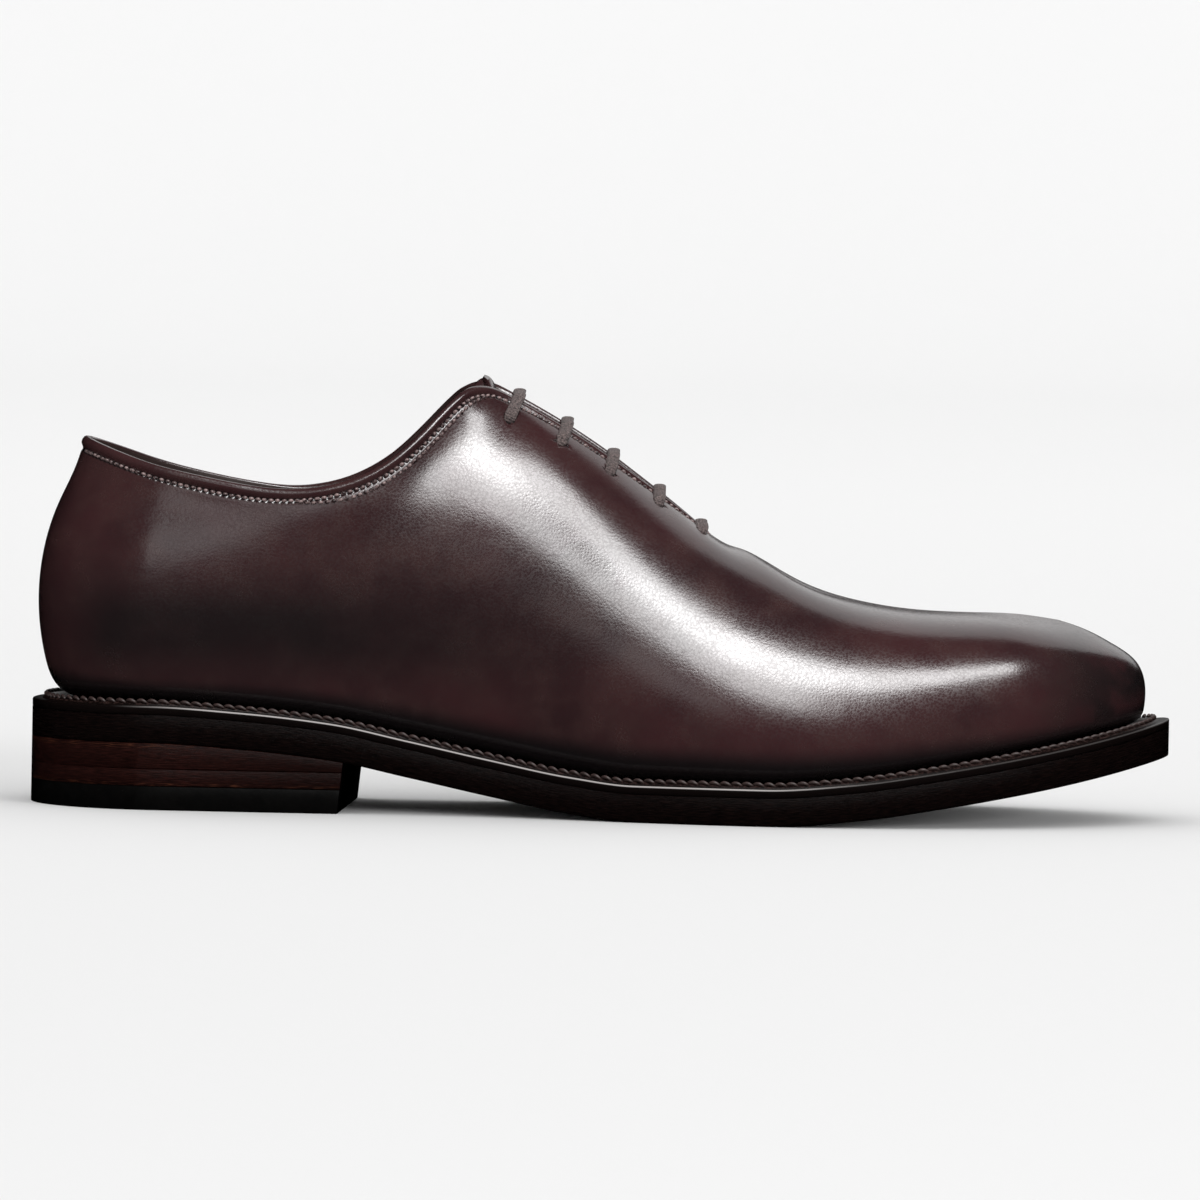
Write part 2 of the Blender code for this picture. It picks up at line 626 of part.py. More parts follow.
def insole():
    """A plate inside the upper, with a thinner filling below it inside the margin and the welt."""
    margin_top = SOLE_THICK + WELT_THICK + 2 * GAP + WALL
    levels = (
        (MARGIN + FILLING_ROOM, SOLE_THICK + GAP),
        (MARGIN + FILLING_ROOM, margin_top + 2 * GAP),
        (INSOLE_INSETS[0], margin_top + 2 * GAP),
        (INSOLE_INSETS[1], margin_top + 2 * GAP + INSOLE_THICK))
    loops = []
    for share in outline_shares(OUTLINE_COLUMNS):
        rows = []
        for side in (LATERAL, MEDIAL):
            places = [(*plan("feather", side, share, inset), up) for inset, up in levels]
            rows.append([(x, y, underside(x) + up) for x, y, up in places])
        loops.append(np.array(rows[0] + rows[1][::-1]))
    return add_solid("insole", *skinned(loops), LINING)


def tongue_loop(station):
    """Section of the tongue under the two facings at one station, outer face and then inner face."""
    outer, inward = [], []
    for side, reaches in ((LATERAL, TONGUE_REACH), (MEDIAL, TONGUE_REACH[::-1])):
        for reach in reaches:
            point, normal = below_edge(side, station.x, reach)
            outer.append(point - normal * (WALL + station.room))
            inward.append(-normal)
        if side == LATERAL:
            outer.append(None)
            inward.append(None)
    middle = len(TONGUE_REACH)
    near, far = outer[middle - 1], outer[middle + 1]
    arch = station.arch * np.linalg.norm(far - near)
    inward[middle] = (inward[middle - 1] + inward[middle + 1]) / 2
    outer[middle] = (near + far) / 2 - inward[middle] * arch
    inner = [point + way * TONGUE_THICK for point, way in zip(outer, inward)]
    return np.array(outer + inner[::-1])


def tongue():
    """A tongue that lies under the facings and ends in a point above them."""
    first = tongue_loop(TONGUE_STATIONS[0])
    middle = first[len(TONGUE_REACH)]
    tip = np.array([TONGUE_TOP[0], middle[1], TONGUE_TOP[1]])
    loops = []
    for end in TONGUE_END:
        narrowed = middle + (first - middle) * (end.width, end.width, end.width)
        loops.append(narrowed + (tip - middle) * end.reach)
    loops += [tongue_loop(station) for station in TONGUE_STATIONS]
    return add_solid("tongue", *skinned(loops), LEATHER)


def bar_path(x):
    """Middle line of a lace bar: out of one eyelet, over the gap between the facings and into the other."""
    halves = []
    for side in (LATERAL, MEDIAL):
        inset = eyelet_inset(x)
        hole, normal = below_edge(side, x, inset)
        up_to_edge, _ = below_edge(side, x, inset - EYELET_RADIUS)
        ahead = (up_to_edge - hole) / np.linalg.norm(up_to_edge - hole)
        half = [hole - normal * BAR_DIP, hole + normal * LACE_THICK * 0.6 + ahead * 0.2]
        for reach in (inset - EYELET_RADIUS * 1.3, inset * 0.45, 1.0):
            point, normal = below_edge(side, x + BAR_FORWARD * (1 - reach / inset), reach)
            lift = LACE_THICK / 2 + GAP * 1.5 + (BEAD_RISE if reach < inset / 2 else 0.3)
            half.append(point + normal * lift)
        halves.append(half)
    middle = (halves[0][-1] + halves[1][-1]) / 2
    middle[2] += BAR_ARCH * np.linalg.norm(halves[0][-1] - halves[1][-1])
    return np.array(halves[0] + [middle] + halves[1][::-1])


def lace_bar(name, x):
    """One bar of lace with an oval section."""
    path = bar_path(x)
    ways = np.gradient(path, axis=0)
    ways /= np.linalg.norm(ways, axis=1)[:, None]
    span = path[-1] - path[0]
    flat = np.cross(span, (0, 0, 1)) / np.linalg.norm(span)
    loops = []
    for point, way in zip(path, ways):
        wide = flat - way * flat.dot(way)
        wide /= np.linalg.norm(wide)
        thick = np.cross(way, wide)
        turns = (np.arange(BAR_SIDES) + 0.5) / BAR_SIDES * math.tau
        oval = [wide * math.cos(a) * LACE_WIDTH + thick * math.sin(a) * LACE_THICK for a in turns]
        loops.append(point + np.array(oval) / 2)
    return add_solid(name, *skinned(loops), CORD)


for item in list(bpy.data.objects):
    bpy.data.objects.remove(item, do_unlink=True)
outsole()
welt()
heel()
insole()
cut_eyelets(upper_shell())
tongue()
for place, bar_x in enumerate(EYELET_X, start=1):
    lace_bar(f"lace_bar_{place}", bar_x)
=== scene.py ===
"""Whole cut oxford, right shoe: the looks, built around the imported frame.

Sizes are in millimetres and are scaled to metres when a mesh is made. X runs from heel to toe, Z is up,
and Y is positive on the inner (medial) side. The last's tables and functions are those of the part's
source, so each piece lies where its solid does.
"""

import math
from collections import namedtuple

import bmesh
import bpy
import numpy as np
from mathutils import Matrix, Vector


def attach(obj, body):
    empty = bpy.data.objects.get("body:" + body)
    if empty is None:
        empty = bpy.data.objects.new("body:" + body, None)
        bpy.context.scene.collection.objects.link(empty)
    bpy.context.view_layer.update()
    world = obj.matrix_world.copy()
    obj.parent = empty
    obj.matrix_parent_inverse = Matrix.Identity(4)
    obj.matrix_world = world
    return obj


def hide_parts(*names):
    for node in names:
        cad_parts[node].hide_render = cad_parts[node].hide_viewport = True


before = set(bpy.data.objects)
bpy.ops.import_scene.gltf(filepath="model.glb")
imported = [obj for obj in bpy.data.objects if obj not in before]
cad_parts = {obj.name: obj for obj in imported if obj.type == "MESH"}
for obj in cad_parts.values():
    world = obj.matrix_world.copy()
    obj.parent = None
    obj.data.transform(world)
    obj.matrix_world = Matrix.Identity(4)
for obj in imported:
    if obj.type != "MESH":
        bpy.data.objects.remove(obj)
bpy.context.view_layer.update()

MM = 0.001


def table(columns, *rows):
    """Rows of numbers under named columns."""
    row = namedtuple("Row", columns)
    return [row(*values) for values in rows]


# Driving dimensions
LENGTH = 302.0          # back of the welt to the tip of its toe
GAP = 0.3               # clearance where one piece rests on another
SOLE_THICK = 7.2
WELT_THICK = 2.2
RIB_HEIGHT = 1.5        # raised rib of the welt beside the upper
RIM_WIDTH = 2.6         # flat outer rim of the welt, outside its rib
WALL = 2.0              # outer leather and lining together
MARGIN = 8.0            # lasting margin turned in under the upper
INSOLE_THICK = 2.5
INSOLE_INSETS = (7.0, 4.8)    # from the feather line to the insole's lower and upper edge
TONGUE_THICK = 2.2
LACE_WIDTH = 3.2
LACE_THICK = 1.5
BAR_ARCH = 0.03         # rise of a bar's middle, as a share of its middle span
HEEL_BREAST_LATERAL = 82.0
HEEL_BREAST_MEDIAL = 86.0
BREAST_LEAN = 0.1       # forward lean of the heel's breast, as a share of its height
HEEL_LEAN_REACH = 1.4   # how far that lean takes the heel's top forward
TOP_PIECE_THICK = 6.0
LOWER_LIFT_THICK = 4.2
BEAD_RISE = 0.45        # how far the rolled topline stands out of the wall
BEAD_WIDTH = 2.2

LATERAL, MEDIAL = -1, 1

# The sole's underside along the length, under the shoe's middle line
SOLE_PROFILE = table(
    "x underside",
    (0, 17.6), (32, 17.6), (56, 16.4), (80, 14.0), (100, 10.0), (122, 5.5), (143, 1.7), (160, 0.0),
    (194, 0.0), (217, 1.7), (239, 4.9), (260, 8.6), (281, 12.8), (302, 17.6),
)

# The line that half widths are measured from
CENTRE_LINE = table(
    "x y",
    (0, 0.0), (60, 0.0), (120, 0.6), (180, 3.2), (230, 6.0), (272, 6.6), (302, 6.4),
)

# Half widths of the last at each tenth of its length, from the welt's edge up to the crown
LATERAL_SECTIONS = table(
    "share welt feather low mid high shoulder crown",
    (0.0, 35.0, 30.5, 31.0, 30.5, 28.5, 25.5, 21.5),
    (0.1, 35.6, 31.2, 32.6, 33.2, 31.2, 27.8, 24.6),
    (0.2, 36.2, 31.8, 33.4, 33.8, 32.6, 30.4, 28.4),
    (0.3, 36.6, 32.4, 34.2, 34.6, 33.2, 30.6, 28.2),
    (0.4, 39.4, 35.2, 37.2, 36.8, 33.4, 26.6, 17.4),
    (0.5, 47.0, 42.0, 43.8, 42.4, 36.8, 27.0, 14.6),
    (0.6, 55.4, 49.8, 51.4, 49.0, 41.8, 30.0, 14.4),
    (0.7, 58.8, 53.0, 54.6, 52.4, 45.2, 33.2, 16.4),
    (0.8, 54.8, 49.2, 50.8, 49.4, 44.0, 34.2, 17.4),
    (0.9, 45.6, 40.2, 41.6, 41.0, 38.0, 30.6, 16.4),
    (1.0, 34.0, 29.6, 31.0, 30.6, 28.6, 23.4, 12.6),
)
MEDIAL_SECTIONS = table(
    "share welt feather low mid high shoulder crown",
    (0.0, 35.0, 30.5, 31.0, 30.5, 28.5, 25.5, 21.5),
    (0.1, 34.8, 30.4, 31.8, 32.4, 30.6, 27.4, 24.2),
    (0.2, 34.0, 29.6, 31.8, 32.8, 31.8, 29.8, 27.8),
    (0.3, 31.8, 27.6, 30.8, 32.8, 32.2, 29.8, 27.4),
    (0.4, 30.4, 26.2, 30.6, 33.2, 31.6, 25.6, 16.6),
    (0.5, 34.8, 30.0, 34.2, 35.8, 33.0, 25.2, 14.0),
    (0.6, 43.0, 37.6, 41.0, 41.4, 37.0, 27.6, 13.8),
    (0.7, 49.4, 43.8, 46.2, 45.4, 40.4, 30.8, 15.6),
    (0.8, 46.6, 41.0, 43.0, 42.4, 38.8, 31.2, 16.4),
    (0.9, 39.6, 34.2, 35.6, 35.2, 32.8, 27.0, 15.0),
    (1.0, 30.5, 26.2, 27.6, 27.2, 25.4, 21.0, 11.6),
)

# How high each level stands between feather line and top line
RISES = table(
    "share low mid high shoulder crown",
    (0.0, 0.16, 0.37, 0.57, 0.76, 0.90),
    (0.3, 0.16, 0.36, 0.57, 0.77, 0.91),
    (0.4, 0.15, 0.34, 0.56, 0.78, 0.93),
    (0.5, 0.14, 0.33, 0.56, 0.78, 0.93),
    (0.6, 0.13, 0.32, 0.56, 0.79, 0.94),
    (0.7, 0.13, 0.33, 0.59, 0.84, 0.98),
    (0.8, 0.14, 0.36, 0.64, 0.88, 0.985),
    (0.9, 0.15, 0.38, 0.66, 0.89, 0.985),
    (1.0, 0.17, 0.41, 0.64, 0.79, 0.93),
)

# Where each level starts behind the heel and ends at the toe, and how its plan is rounded there
LEVELS = table(
    "name back front heel_round toe_round",
    ("welt", 0.0, 302.0, 35.0, 46.0),
    ("feather", 6.2, 294.6, 31.0, 41.0),
    ("low", 2.4, 295.5, 32.0, 42.0),
    ("mid", 0.6, 295.7, 32.0, 42.0),
    ("high", 1.8, 293.2, 31.0, 40.0),
    ("shoulder", 5.7, 285.8, 28.0, 34.0),
    ("crown", 11.2, 279.0, 25.0, 28.0),
    ("top", 12.4, 272.0, 24.0, 16.0),
)
HEEL_POWER = 2.1
TOE_POWER = 2.15

# The top line: collar edge, facing edge, and then the ridge of the vamp, where both sides meet
TOP_LINE = table(
    "x z lateral medial medial_rise",
    (12.4, 96.4, 20.5, 20.5, 0.0),
    (21, 93.4, 21.5, 21.5, 0.0),
    (31, 90.2, 22.8, 22.8, -0.2),
    (43, 87.4, 25.2, 25.2, -0.7),
    (56, 85.2, 27.0, 27.0, -1.0),
    (66, 84.5, 27.6, 27.4, -1.0),
    (76, 85.3, 27.8, 27.4, -0.8),
    (85, 87.8, 27.3, 27.0, -0.4),
    (95, 93.4, 25.6, 25.2, 0.2),
    (104, 101.6, 21.8, 21.4, 0.7),
    (110.5, 108.6, 17.0, 16.8, 0.6),
    (114, 111.4, 13.6, 13.4, 0.4),
    (117.5, 112.2, 10.2, 10.2, 0.7),
    (121, 111.6, 7.8, 7.8, 0.8),
    (125, 109.7, 6.6, 6.6, 0.9),
    (131, 106.5, 6.0, 6.0, 1.0),
    (149, 95.7, 4.4, 4.4, 1.0),
    (162, 86.6, 2.8, 2.8, 0.6),
    (175, 76.8, 1.2, 1.2, 0.0),
    (181, 72.2, 0.0, 0.0, 0.0),
    (188, 69.9, 0.0, 0.0, 0.0),
    (200, 62.4, 0.0, 0.0, 0.0),
    (213, 57.8, 0.0, 0.0, 0.0),
    (230, 54.9, 0.0, 0.0, 0.0),
    (250, 54.4, 0.0, 0.0, 0.0),
    (262, 54.1, 0.0, 0.0, 0.0),
    (272, 52.8, 0.0, 0.0, 0.0),
)
# The height that the levels below the top line are shares of: the top line without its local bends
HEAD_LINE = table(
    "x z",
    (12.4, 96.4), (40, 89.6), (66, 87.4), (90, 92.4), (117.5, 110.0), (150, 95.6), (181, 73.6),
    (213, 58.0), (245, 54.5), (272, 52.8),
)
THROAT_END = 181.0      # where the two facings meet
CORNER_START, CORNER_END = 94.0, 128.0    # the collar's turn into the facing

EYELET_X = (123.6, 137.0, 149.9, 162.8, 174.4)
EYELET_INSET = 9.7     # from the facing's edge along the leather, at the top pair
EYELET_INSET_LAST = 8.6

TONGUE_REACH = (18.0, 13.0, 8.0, 3.5)     # across the tongue, measured from the facing's edge
LACE_ROOM = 2.5                           # between tongue and facings, for the lace below them
ARCH = 0.09                               # rise of the tongue's middle, as a share of its middle span
TONGUE_STATIONS = table(
    "x room arch",
    (124, LACE_ROOM, ARCH), (133, LACE_ROOM, ARCH), (143, LACE_ROOM, ARCH), (154, LACE_ROOM, ARCH),
    (164, LACE_ROOM, ARCH), (173, LACE_ROOM, ARCH / 2), (181, 2.0, 0.0), (188, 1.2, 0.0),
)

DEGREE = 3              # of the ribs' splines
OUTLINE_COLUMNS = 42    # of the part's outlines, which give the frame's origin
RIB_SAMPLES = 500
NEAR_SHARE = 0.004      # step beside a point, for the leather's normal there

# The upper's fine skin. Distances run down the leather from its edge.
FINE_COLUMNS = 190      # ribs on each side
CORNER_SPACING = 0.8    # between the extra ribs at the collar's corner and at the throat's end
THROAT_ZONE = 10.0
ZONE_MARGIN = 0.001     # between those ribs and the even ones, as a share of the length
SAME_RIB = 1e-5
BODY_STEPS = 52         # rows up to the edge zone
EDGE_ZONE = 9.0
EDGE_DISTANCES = (7.6, 6.4, 5.4, 4.6, 4.0, 3.6, 3.3, 3.0, 2.6, 2.2, 1.8, 1.3, 0.8, 0.3, 0.0)
FAR = 9 * EDGE_ZONE     # for skin that lies near no seam and no foot
RIM_STEPS = 5           # round steps over the topline's edge
RIM_FLOOR = 45.0        # open edges above this height are the collar's and the facings'
RIM_BULGE = 0.55        # how round those edges are
BEAD_SHAPE = ((0.0, 0.35), (0.3, 0.75), (0.8, 1.0), (1.3, 1.0), (1.8, 0.6), (2.2, 0.0))
BACK_SEAM_DEPTH = 0.25
HOLE_SIDES = 20
HOLE_RADIUS = 1.5
PEG_LENGTH = 9.0        # of the cutter that makes a hole

# Stitches: how thick a thread is along a stitch, and where the rows run
STITCH_GIRTH = ((0.0, 0.45), (0.12, 0.85), (0.32, 1.0), (0.5, 1.0), (0.68, 1.0), (0.88, 0.85), (1.0, 0.45))
STITCH_DIP = 0.45       # how deep its ends lie, as a share of its arch
STITCH_ENDS = (0.02, 0.98)
PATH_STEP = 0.7
THREAD = 0.92           # thickness of the topline's thread
PITCH = 1.75
SEAM_DISTANCE = 2.9     # of the row along the topline
SEAM_DEPTH = 0.32       # of the groove below it
SEAM_REACH = 0.55
SEAM_START, SEAM_END = 13.5, THROAT_END - 1.0
SEAM_LIFT = 0.1         # of the thread over the groove's floor
SECOND_SEAM = 4.8       # the second row, at the collar's corner only
SECOND_START, SECOND_END = 70.0, 119.0
SECOND_FADES = (14, 8)  # along X, where it leaves the first row and comes back
SECOND_LIFT = 0.05
WELT_THREAD = 1.05
WELT_PITCH = 2.9
WELT_SEAM_SHARE = 0.34  # where its row runs, as a share of the rib's width
WELT_SEAM_LIFT = 0.12
WELT_SEAM_WAY = (0.5, 0.86)   # how far its stitches face outwards and up

# Sole, welt, heel and insole: edge rows are insets and heights
FINE_OUTLINE = 170
WELT_SAMPLES = 300
HEEL_FINE = 80
INSOLE_FINE = 120
EDGE_ROWS = ((0.8, 0.0), (0.25, 0.22), (0.0, 0.8))
EDGE_BREAK = 0.2        # chamfer on upper edges
SOLE_TOP = SOLE_THICK + GAP - 0.05
WELT_ROWS = (
    (0.25, 0.0), (0.0, 0.25), (0.0, WELT_THICK - 0.42), (0.12, WELT_THICK - 0.12), (0.45, WELT_THICK))
RIB_STEPS = (0.1, 0.25, 0.42, 0.58, 0.75, 0.9)
RIB_RISE = RIB_HEIGHT * 0.62  # of the rib below its stitches
RIB_ROUNDNESS = 0.6
HEEL_BREAK = (0.3, 0.25)      # inset and height of its lower chamfer
SOCK_OVERLAP = 0.6      # of the sock beyond the insole's upper edge
SOCK_EDGE = 0.5
SOCK_DISH = 1.4
SOCK_STEPS = np.linspace(0.02, 0.98, 13)
SHARP_ANGLE = math.radians(50)

# The tongue's end. Reaches run from 0 under the lace to 1 at its tip.
TONGUE_LOOPS = 40
TONGUE_ENDS = np.linspace(1, 0.08, 14)
TONGUE_TAPER = ((0.0, 1.0), (0.4, 0.86), (0.75, 0.62), (0.93, 0.42), (1.0, 0.30))
TONGUE_PADDING = ((0.0, 2.3), (0.5, 1.7), (1.0, 0.5))   # its thickness, as a share of that under the lace
TONGUE_SWELL = 14.0     # how far its inner face stands back
TONGUE_LIFT = 2.5
TONGUE_PEAK = (118.2, 115.1)  # X and Z of its tip

# The lace. Its bars' reaches run from 0 at the facing's edge to 1 at the hole.
LACE_PROFILE = 14       # points around it
LACE_POWERS = (0.8, 0.9)      # of its oval section, across and through
LACE_STEPS = 46         # sections along a bar
BAR_SIZE = (LACE_WIDTH * 1.06, LACE_THICK * 0.95)
BAR_LEANS = (3.4, 1.2)  # how far the first and the last bar bow towards the toe
BAR_REACHES = ((0.86, 0.1), (0.7, 0.62), (0.45, 0.72), (0.2, 0.95), (0.05, 1.15))   # reach and lift
BAR_SINK = 1.0          # of its middle line inside the hole
BAR_CROWN = 0.1
UNDER_RUNS = ((5, 4), (4, 2), (5, 3), (3, 1))   # the eyelets that each hidden run joins
UNDER_SIZE = (LACE_WIDTH * 0.8, 0.8)
UNDER_DEPTH = 3.05
UNDER_SHIFT = 0.3       # away from the facing's edge
UNDER_STEPS = 14

# Looks. A plain one is fine noise between two tones.
LEATHER_DEEP = (0.0172, 0.0070, 0.0078)
LEATHER_RED = (0.0275, 0.0094, 0.0104)
LEATHER_BROWN = (0.0340, 0.0155, 0.0145)
# Tone of the painted shade and painted dark reflections on the calf
LEATHER_PAINTED_SHADE = (0.0052, 0.0044, 0.0047)
# Where painted shade darkens the calf (near the welt, in the stitched groove and over the toe, and a painted
# dark reflection in a band round the heel): limits in millimetres down the leather or up from its foot, or in
# metres
FOOT_SHADE = (10.5, 17.0)
SEAM_SHADE = (2.1, 2.6), (3.9, 3.3)
TOE_SHADE = (0.108, 0.140)
HEEL_SHADE_X = (0.030, -0.075), (-0.150, -0.128)
HEEL_SHADE_Z = (0.069, 0.050), (0.028, 0.046)
LINING_TONES = (0.016, 0.0080, 0.0070), (0.034, 0.017, 0.014)
WELT_TONES = (0.0010, 0.0007, 0.0007), (0.0050, 0.0027, 0.0024)
RIB_TONES = (0.0030, 0.0015, 0.0013), (0.026, 0.0135, 0.012)
WELT_PAINTED_HIGHLIGHT = (0.24, 0.225, 0.22)         # painted highlight along the rim's upper edge
WELT_HIGHLIGHT_X = (0.075, 0.035), (-0.130, -0.100)  # metres between which it fades, at the toe and the heel
SOLE_TONES = (0.0010, 0.0007, 0.0007), (0.0052, 0.0024, 0.0021)
STACK_TONES = (0.0042, 0.0015, 0.0013), (0.0150, 0.0040, 0.0032)
STACK_STREAK = (0.050, 0.017, 0.008)
STACK_SHADE = (0.0030, 0.0014, 0.0012)
STACK_JOINTS = (TOP_PIECE_THICK + 0.6, 16.9)    # heights
STACK_SHADE_X = (-0.115, -0.070)        # metres, painted shade towards the breast
LACE_TONES = (0.012, 0.0072, 0.0070), (0.135, 0.100, 0.094)
LACE_PATCH = (0.060, 0.042, 0.042)
BRAID = (5.2, 44)       # waves along the lace and around it
FLOOR_TONES = (0.76, 0.76, 0.76), (0.89, 0.89, 0.89)
FLOOR_FADE = (-1.2, 2.5)                # metres between those tones, front to back
PlainLook = namedtuple(
    "PlainLook", "name scale detail tones roughness relief limits specular", defaults=(None, None, 0.5))
HOLE_WALL = PlainLook("hole_wall", 900, 2, ((0.004, 0.003, 0.003), (0.012, 0.007, 0.006)), 0.8)
TOPLINE_THREAD = PlainLook(
    "topline_thread", 900, 2, ((0.016, 0.008, 0.0085), (0.19, 0.135, 0.130)), 0.35, limits=(0.35, 0.65))
WAXED_THREAD = PlainLook(
    "welt_thread", 700, 3, ((0.006, 0.0028, 0.0024), (0.050, 0.028, 0.025)), 0.5, relief=0.0002)
RUBBER = PlainLook(
    "heel_rubber", 400, 3, ((0.0007, 0.0007, 0.0007), (0.0024, 0.0022, 0.0021)), 0.32, relief=0.00006,
    specular=0.02)

# Camera, lights and floor, in metres and degrees
CAMERA_TARGET = (-0.001, 0.0, 0.0559)
CAMERA_DISTANCE = 3.0
CAMERA_RISE = 2.7       # above the floor's level
CAMERA_ROLL = 1.15
FRAME_WIDTH = 0.3185    # at the target
SENSOR = 36.0           # millimetres
CLIP_END = 20
WORLD_LIGHT = 1.02
LIGHT_TARGET = (0.03, 0.0, 0.05)
Softbox = namedtuple("Softbox", "name azimuth elevation distance width height power roll")
SOFTBOXES = (
    Softbox("front", 5, 51, 2.2, 0.60, 1.06, 25.5, -16),
    Softbox("over", 30, 58, 2.2, 1.32, 0.50, 34, 0),
    Softbox("low", -15, 29, 2.2, 0.40, 0.36, 0.9, 0),
    Softbox("rear", 168, 33, 1.4, 1.05, 1.20, 3.6, 0),
)
FLOOR_BOX = Softbox("side", 42, 13, 4.0, 1.6, 1.0, 85, 0)
FLOOR_FRONT, FLOOR_BACK = -6.0, 4.0
FLOOR_HALF = 9.0
CURVE_RADIUS = 1.5      # from the floor to the wall
CURVE_STEPS = 24
WALL_TOP = 7.0


def unit(vectors):
    """Each vector at a length of one."""
    return vectors / np.linalg.norm(vectors, axis=-1, keepdims=True)


def run_lengths(path):
    """The length along a path up to each of its points."""
    return np.append(0, np.cumsum(np.linalg.norm(np.diff(path, axis=0), axis=1)))


def natural_spline(knots, values):
    """A curve through the values whose bend is smooth everywhere and nil at both ends."""
    knots, values = np.asarray(knots, float), np.asarray(values, float)
    count, gaps = len(knots), np.diff(knots)
    slopes = np.diff(values) / gaps
    matrix, right = np.eye(count), np.zeros(count)
    for i in range(1, count - 1):
        matrix[i, i - 1:i + 2] = gaps[i - 1], 2 * (gaps[i - 1] + gaps[i]), gaps[i]
        right[i] = 6 * (slopes[i] - slopes[i - 1])
    bends = np.linalg.solve(matrix, right)

    def curve(x):
        x = np.clip(np.asarray(x, float), knots[0], knots[-1])
        i = np.clip(np.searchsorted(knots, x) - 1, 0, count - 2)
        after = (x - knots[i]) / gaps[i]
        before = 1 - after
        bend = (before**3 - before) * bends[i] + (after**3 - after) * bends[i + 1]
        return before * values[i] + after * values[i + 1] + bend * gaps[i] ** 2 / 6

    return curve


def level_spline(knots, values):
    """A curve through the values that never overshoots them, so that a level stretch stays level."""
    knots, values = np.asarray(knots, float), np.asarray(values, float)
    gaps = np.diff(knots)
    slopes = np.diff(values) / gaps
    tangents = np.concatenate([slopes[:1], np.zeros(len(knots) - 2), slopes[-1:]])
    for i in range(1, len(knots) - 1):
        before, after = slopes[i - 1], slopes[i]
        if before * after > 0:
            near, far = 2 * gaps[i] + gaps[i - 1], gaps[i] + 2 * gaps[i - 1]
            tangents[i] = (near + far) / (near / before + far / after)

    def curve(x):
        x = np.clip(np.asarray(x, float), knots[0], knots[-1])
        i = np.clip(np.searchsorted(knots, x) - 1, 0, len(knots) - 2)
        u = (x - knots[i]) / gaps[i]
        ends = (1 + 2 * u) * (1 - u) ** 2 * values[i] + u**2 * (3 - 2 * u) * values[i + 1]
        leans = u * (1 - u) ** 2 * tangents[i] - u**2 * (1 - u) * tangents[i + 1]
        return ends + leans * gaps[i]

    return curve


def columns_of(rows, kind, key):
    """One curve for each column of a table, by the column's name."""
    keys = [getattr(row, key) for row in rows]
    names = [name for name in rows[0]._fields if name != key]
    return {name: kind(keys, [getattr(row, name) for row in rows]) for name in names}


underside = columns_of(SOLE_PROFILE, level_spline, "x")["underside"]
centre_y = columns_of(CENTRE_LINE, natural_spline, "x")["y"]
WIDTHS = {
    LATERAL: columns_of(LATERAL_SECTIONS, natural_spline, "share"),
    MEDIAL: columns_of(MEDIAL_SECTIONS, natural_spline, "share"),
}
HEIGHTS = columns_of(RISES, level_spline, "share")
TOP_HEIGHT = columns_of(TOP_LINE, natural_spline, "x")["z"]
HEAD_HEIGHT = columns_of(HEAD_LINE, natural_spline, "x")["z"]
TOP_WIDTHS = columns_of(TOP_LINE, level_spline, "x")
LEVEL = {level.name: level for level in LEVELS}
BODY_LEVELS = ("low", "mid", "high", "shoulder", "crown")


def seat_height(x):
    """Top of the welt's inner part, where the upper's margin rests."""
    return underside(x) + SOLE_THICK + WELT_THICK + 2 * GAP


def rounding(distance, radius, power):
    """Share of its full width that a plan outline has at this distance from its end."""
    inside = np.clip(1 - np.asarray(distance, float) / radius, 0, 1)
    return (1 - inside**power) ** (1 / power)


def plan(name, side, share, inset=0.0):
    """X and Y of a level's outline at these shares of its length. An inset shrinks it all round."""
    level = LEVEL[name]
    back, front = level.back + inset, level.front - inset
    x = back + (front - back) * share
    if name == "top":
        width = TOP_WIDTHS["lateral" if side == LATERAL else "medial"](x)
    else:
        width = WIDTHS[side][name](share) - inset
    width = width * rounding(x - back, level.heel_round - inset / 2, HEEL_POWER)
    width = width * rounding(front - x, level.toe_round - inset / 2, TOE_POWER)
    return x, centre_y(x) + side * width


def rib_controls(side, share):
    """Control points of the ribs at these shares of the length, from lasting margin to top line."""
    margin_x, margin_y = plan("feather", side, share, MARGIN)
    feather_x, feather_y = plan("feather", side, share)
    top_x, top_y = plan("top", side, share)
    foot = seat_height(feather_x)
    rise = TOP_WIDTHS["medial_rise"](top_x) * (side == MEDIAL)
    points = [(margin_x, margin_y, seat_height(margin_x)), (feather_x, feather_y, foot)]
    for name in BODY_LEVELS:
        x, y = plan(name, side, share)
        points.append((x, y, foot + (HEAD_HEIGHT(top_x) - foot) * HEIGHTS[name](share)))
    points.append((top_x, top_y, TOP_HEIGHT(top_x) + rise))
    return np.array([np.stack(np.broadcast_arrays(*point), -1) for point in points])


def spline_weights(t, count):
    """Weight of each of count control points on a clamped cubic B-spline at parameters t from 0 to 1."""
    spans = count - DEGREE
    knots = np.concatenate([np.zeros(DEGREE), np.linspace(0, 1, spans + 1), np.ones(DEGREE)])
    t = np.asarray(t, float)[..., None]
    last = (knots[:-1] == knots[-DEGREE - 2]) & (t >= 1)
    weights = (((knots[:-1] <= t) & (t < knots[1:])) | last).astype(float)
    for degree in range(1, DEGREE + 1):
        low, high = knots[:-degree - 1], knots[degree + 1:]
        rise = np.where(knots[degree:-1] > low, knots[degree:-1] - low, 1)
        fall = np.where(high > knots[1:-degree], high - knots[1:-degree], 1)
        weights = (t - low) / rise * weights[..., :-1] + (high - t) / fall * weights[..., 1:]
    return weights


def top_share(x):
    """Share of the length at which a rib ends at this X on the top line."""
    top = LEVEL["top"]
    return (np.asarray(x, float) - top.back) / (top.front - top.back)


def outline_shares(count):
    """Shares of the length for an outline: closer together where it rounds the heel and the toe."""
    return np.sin((np.arange(count) + 0.5) / count * math.pi / 2) ** 2


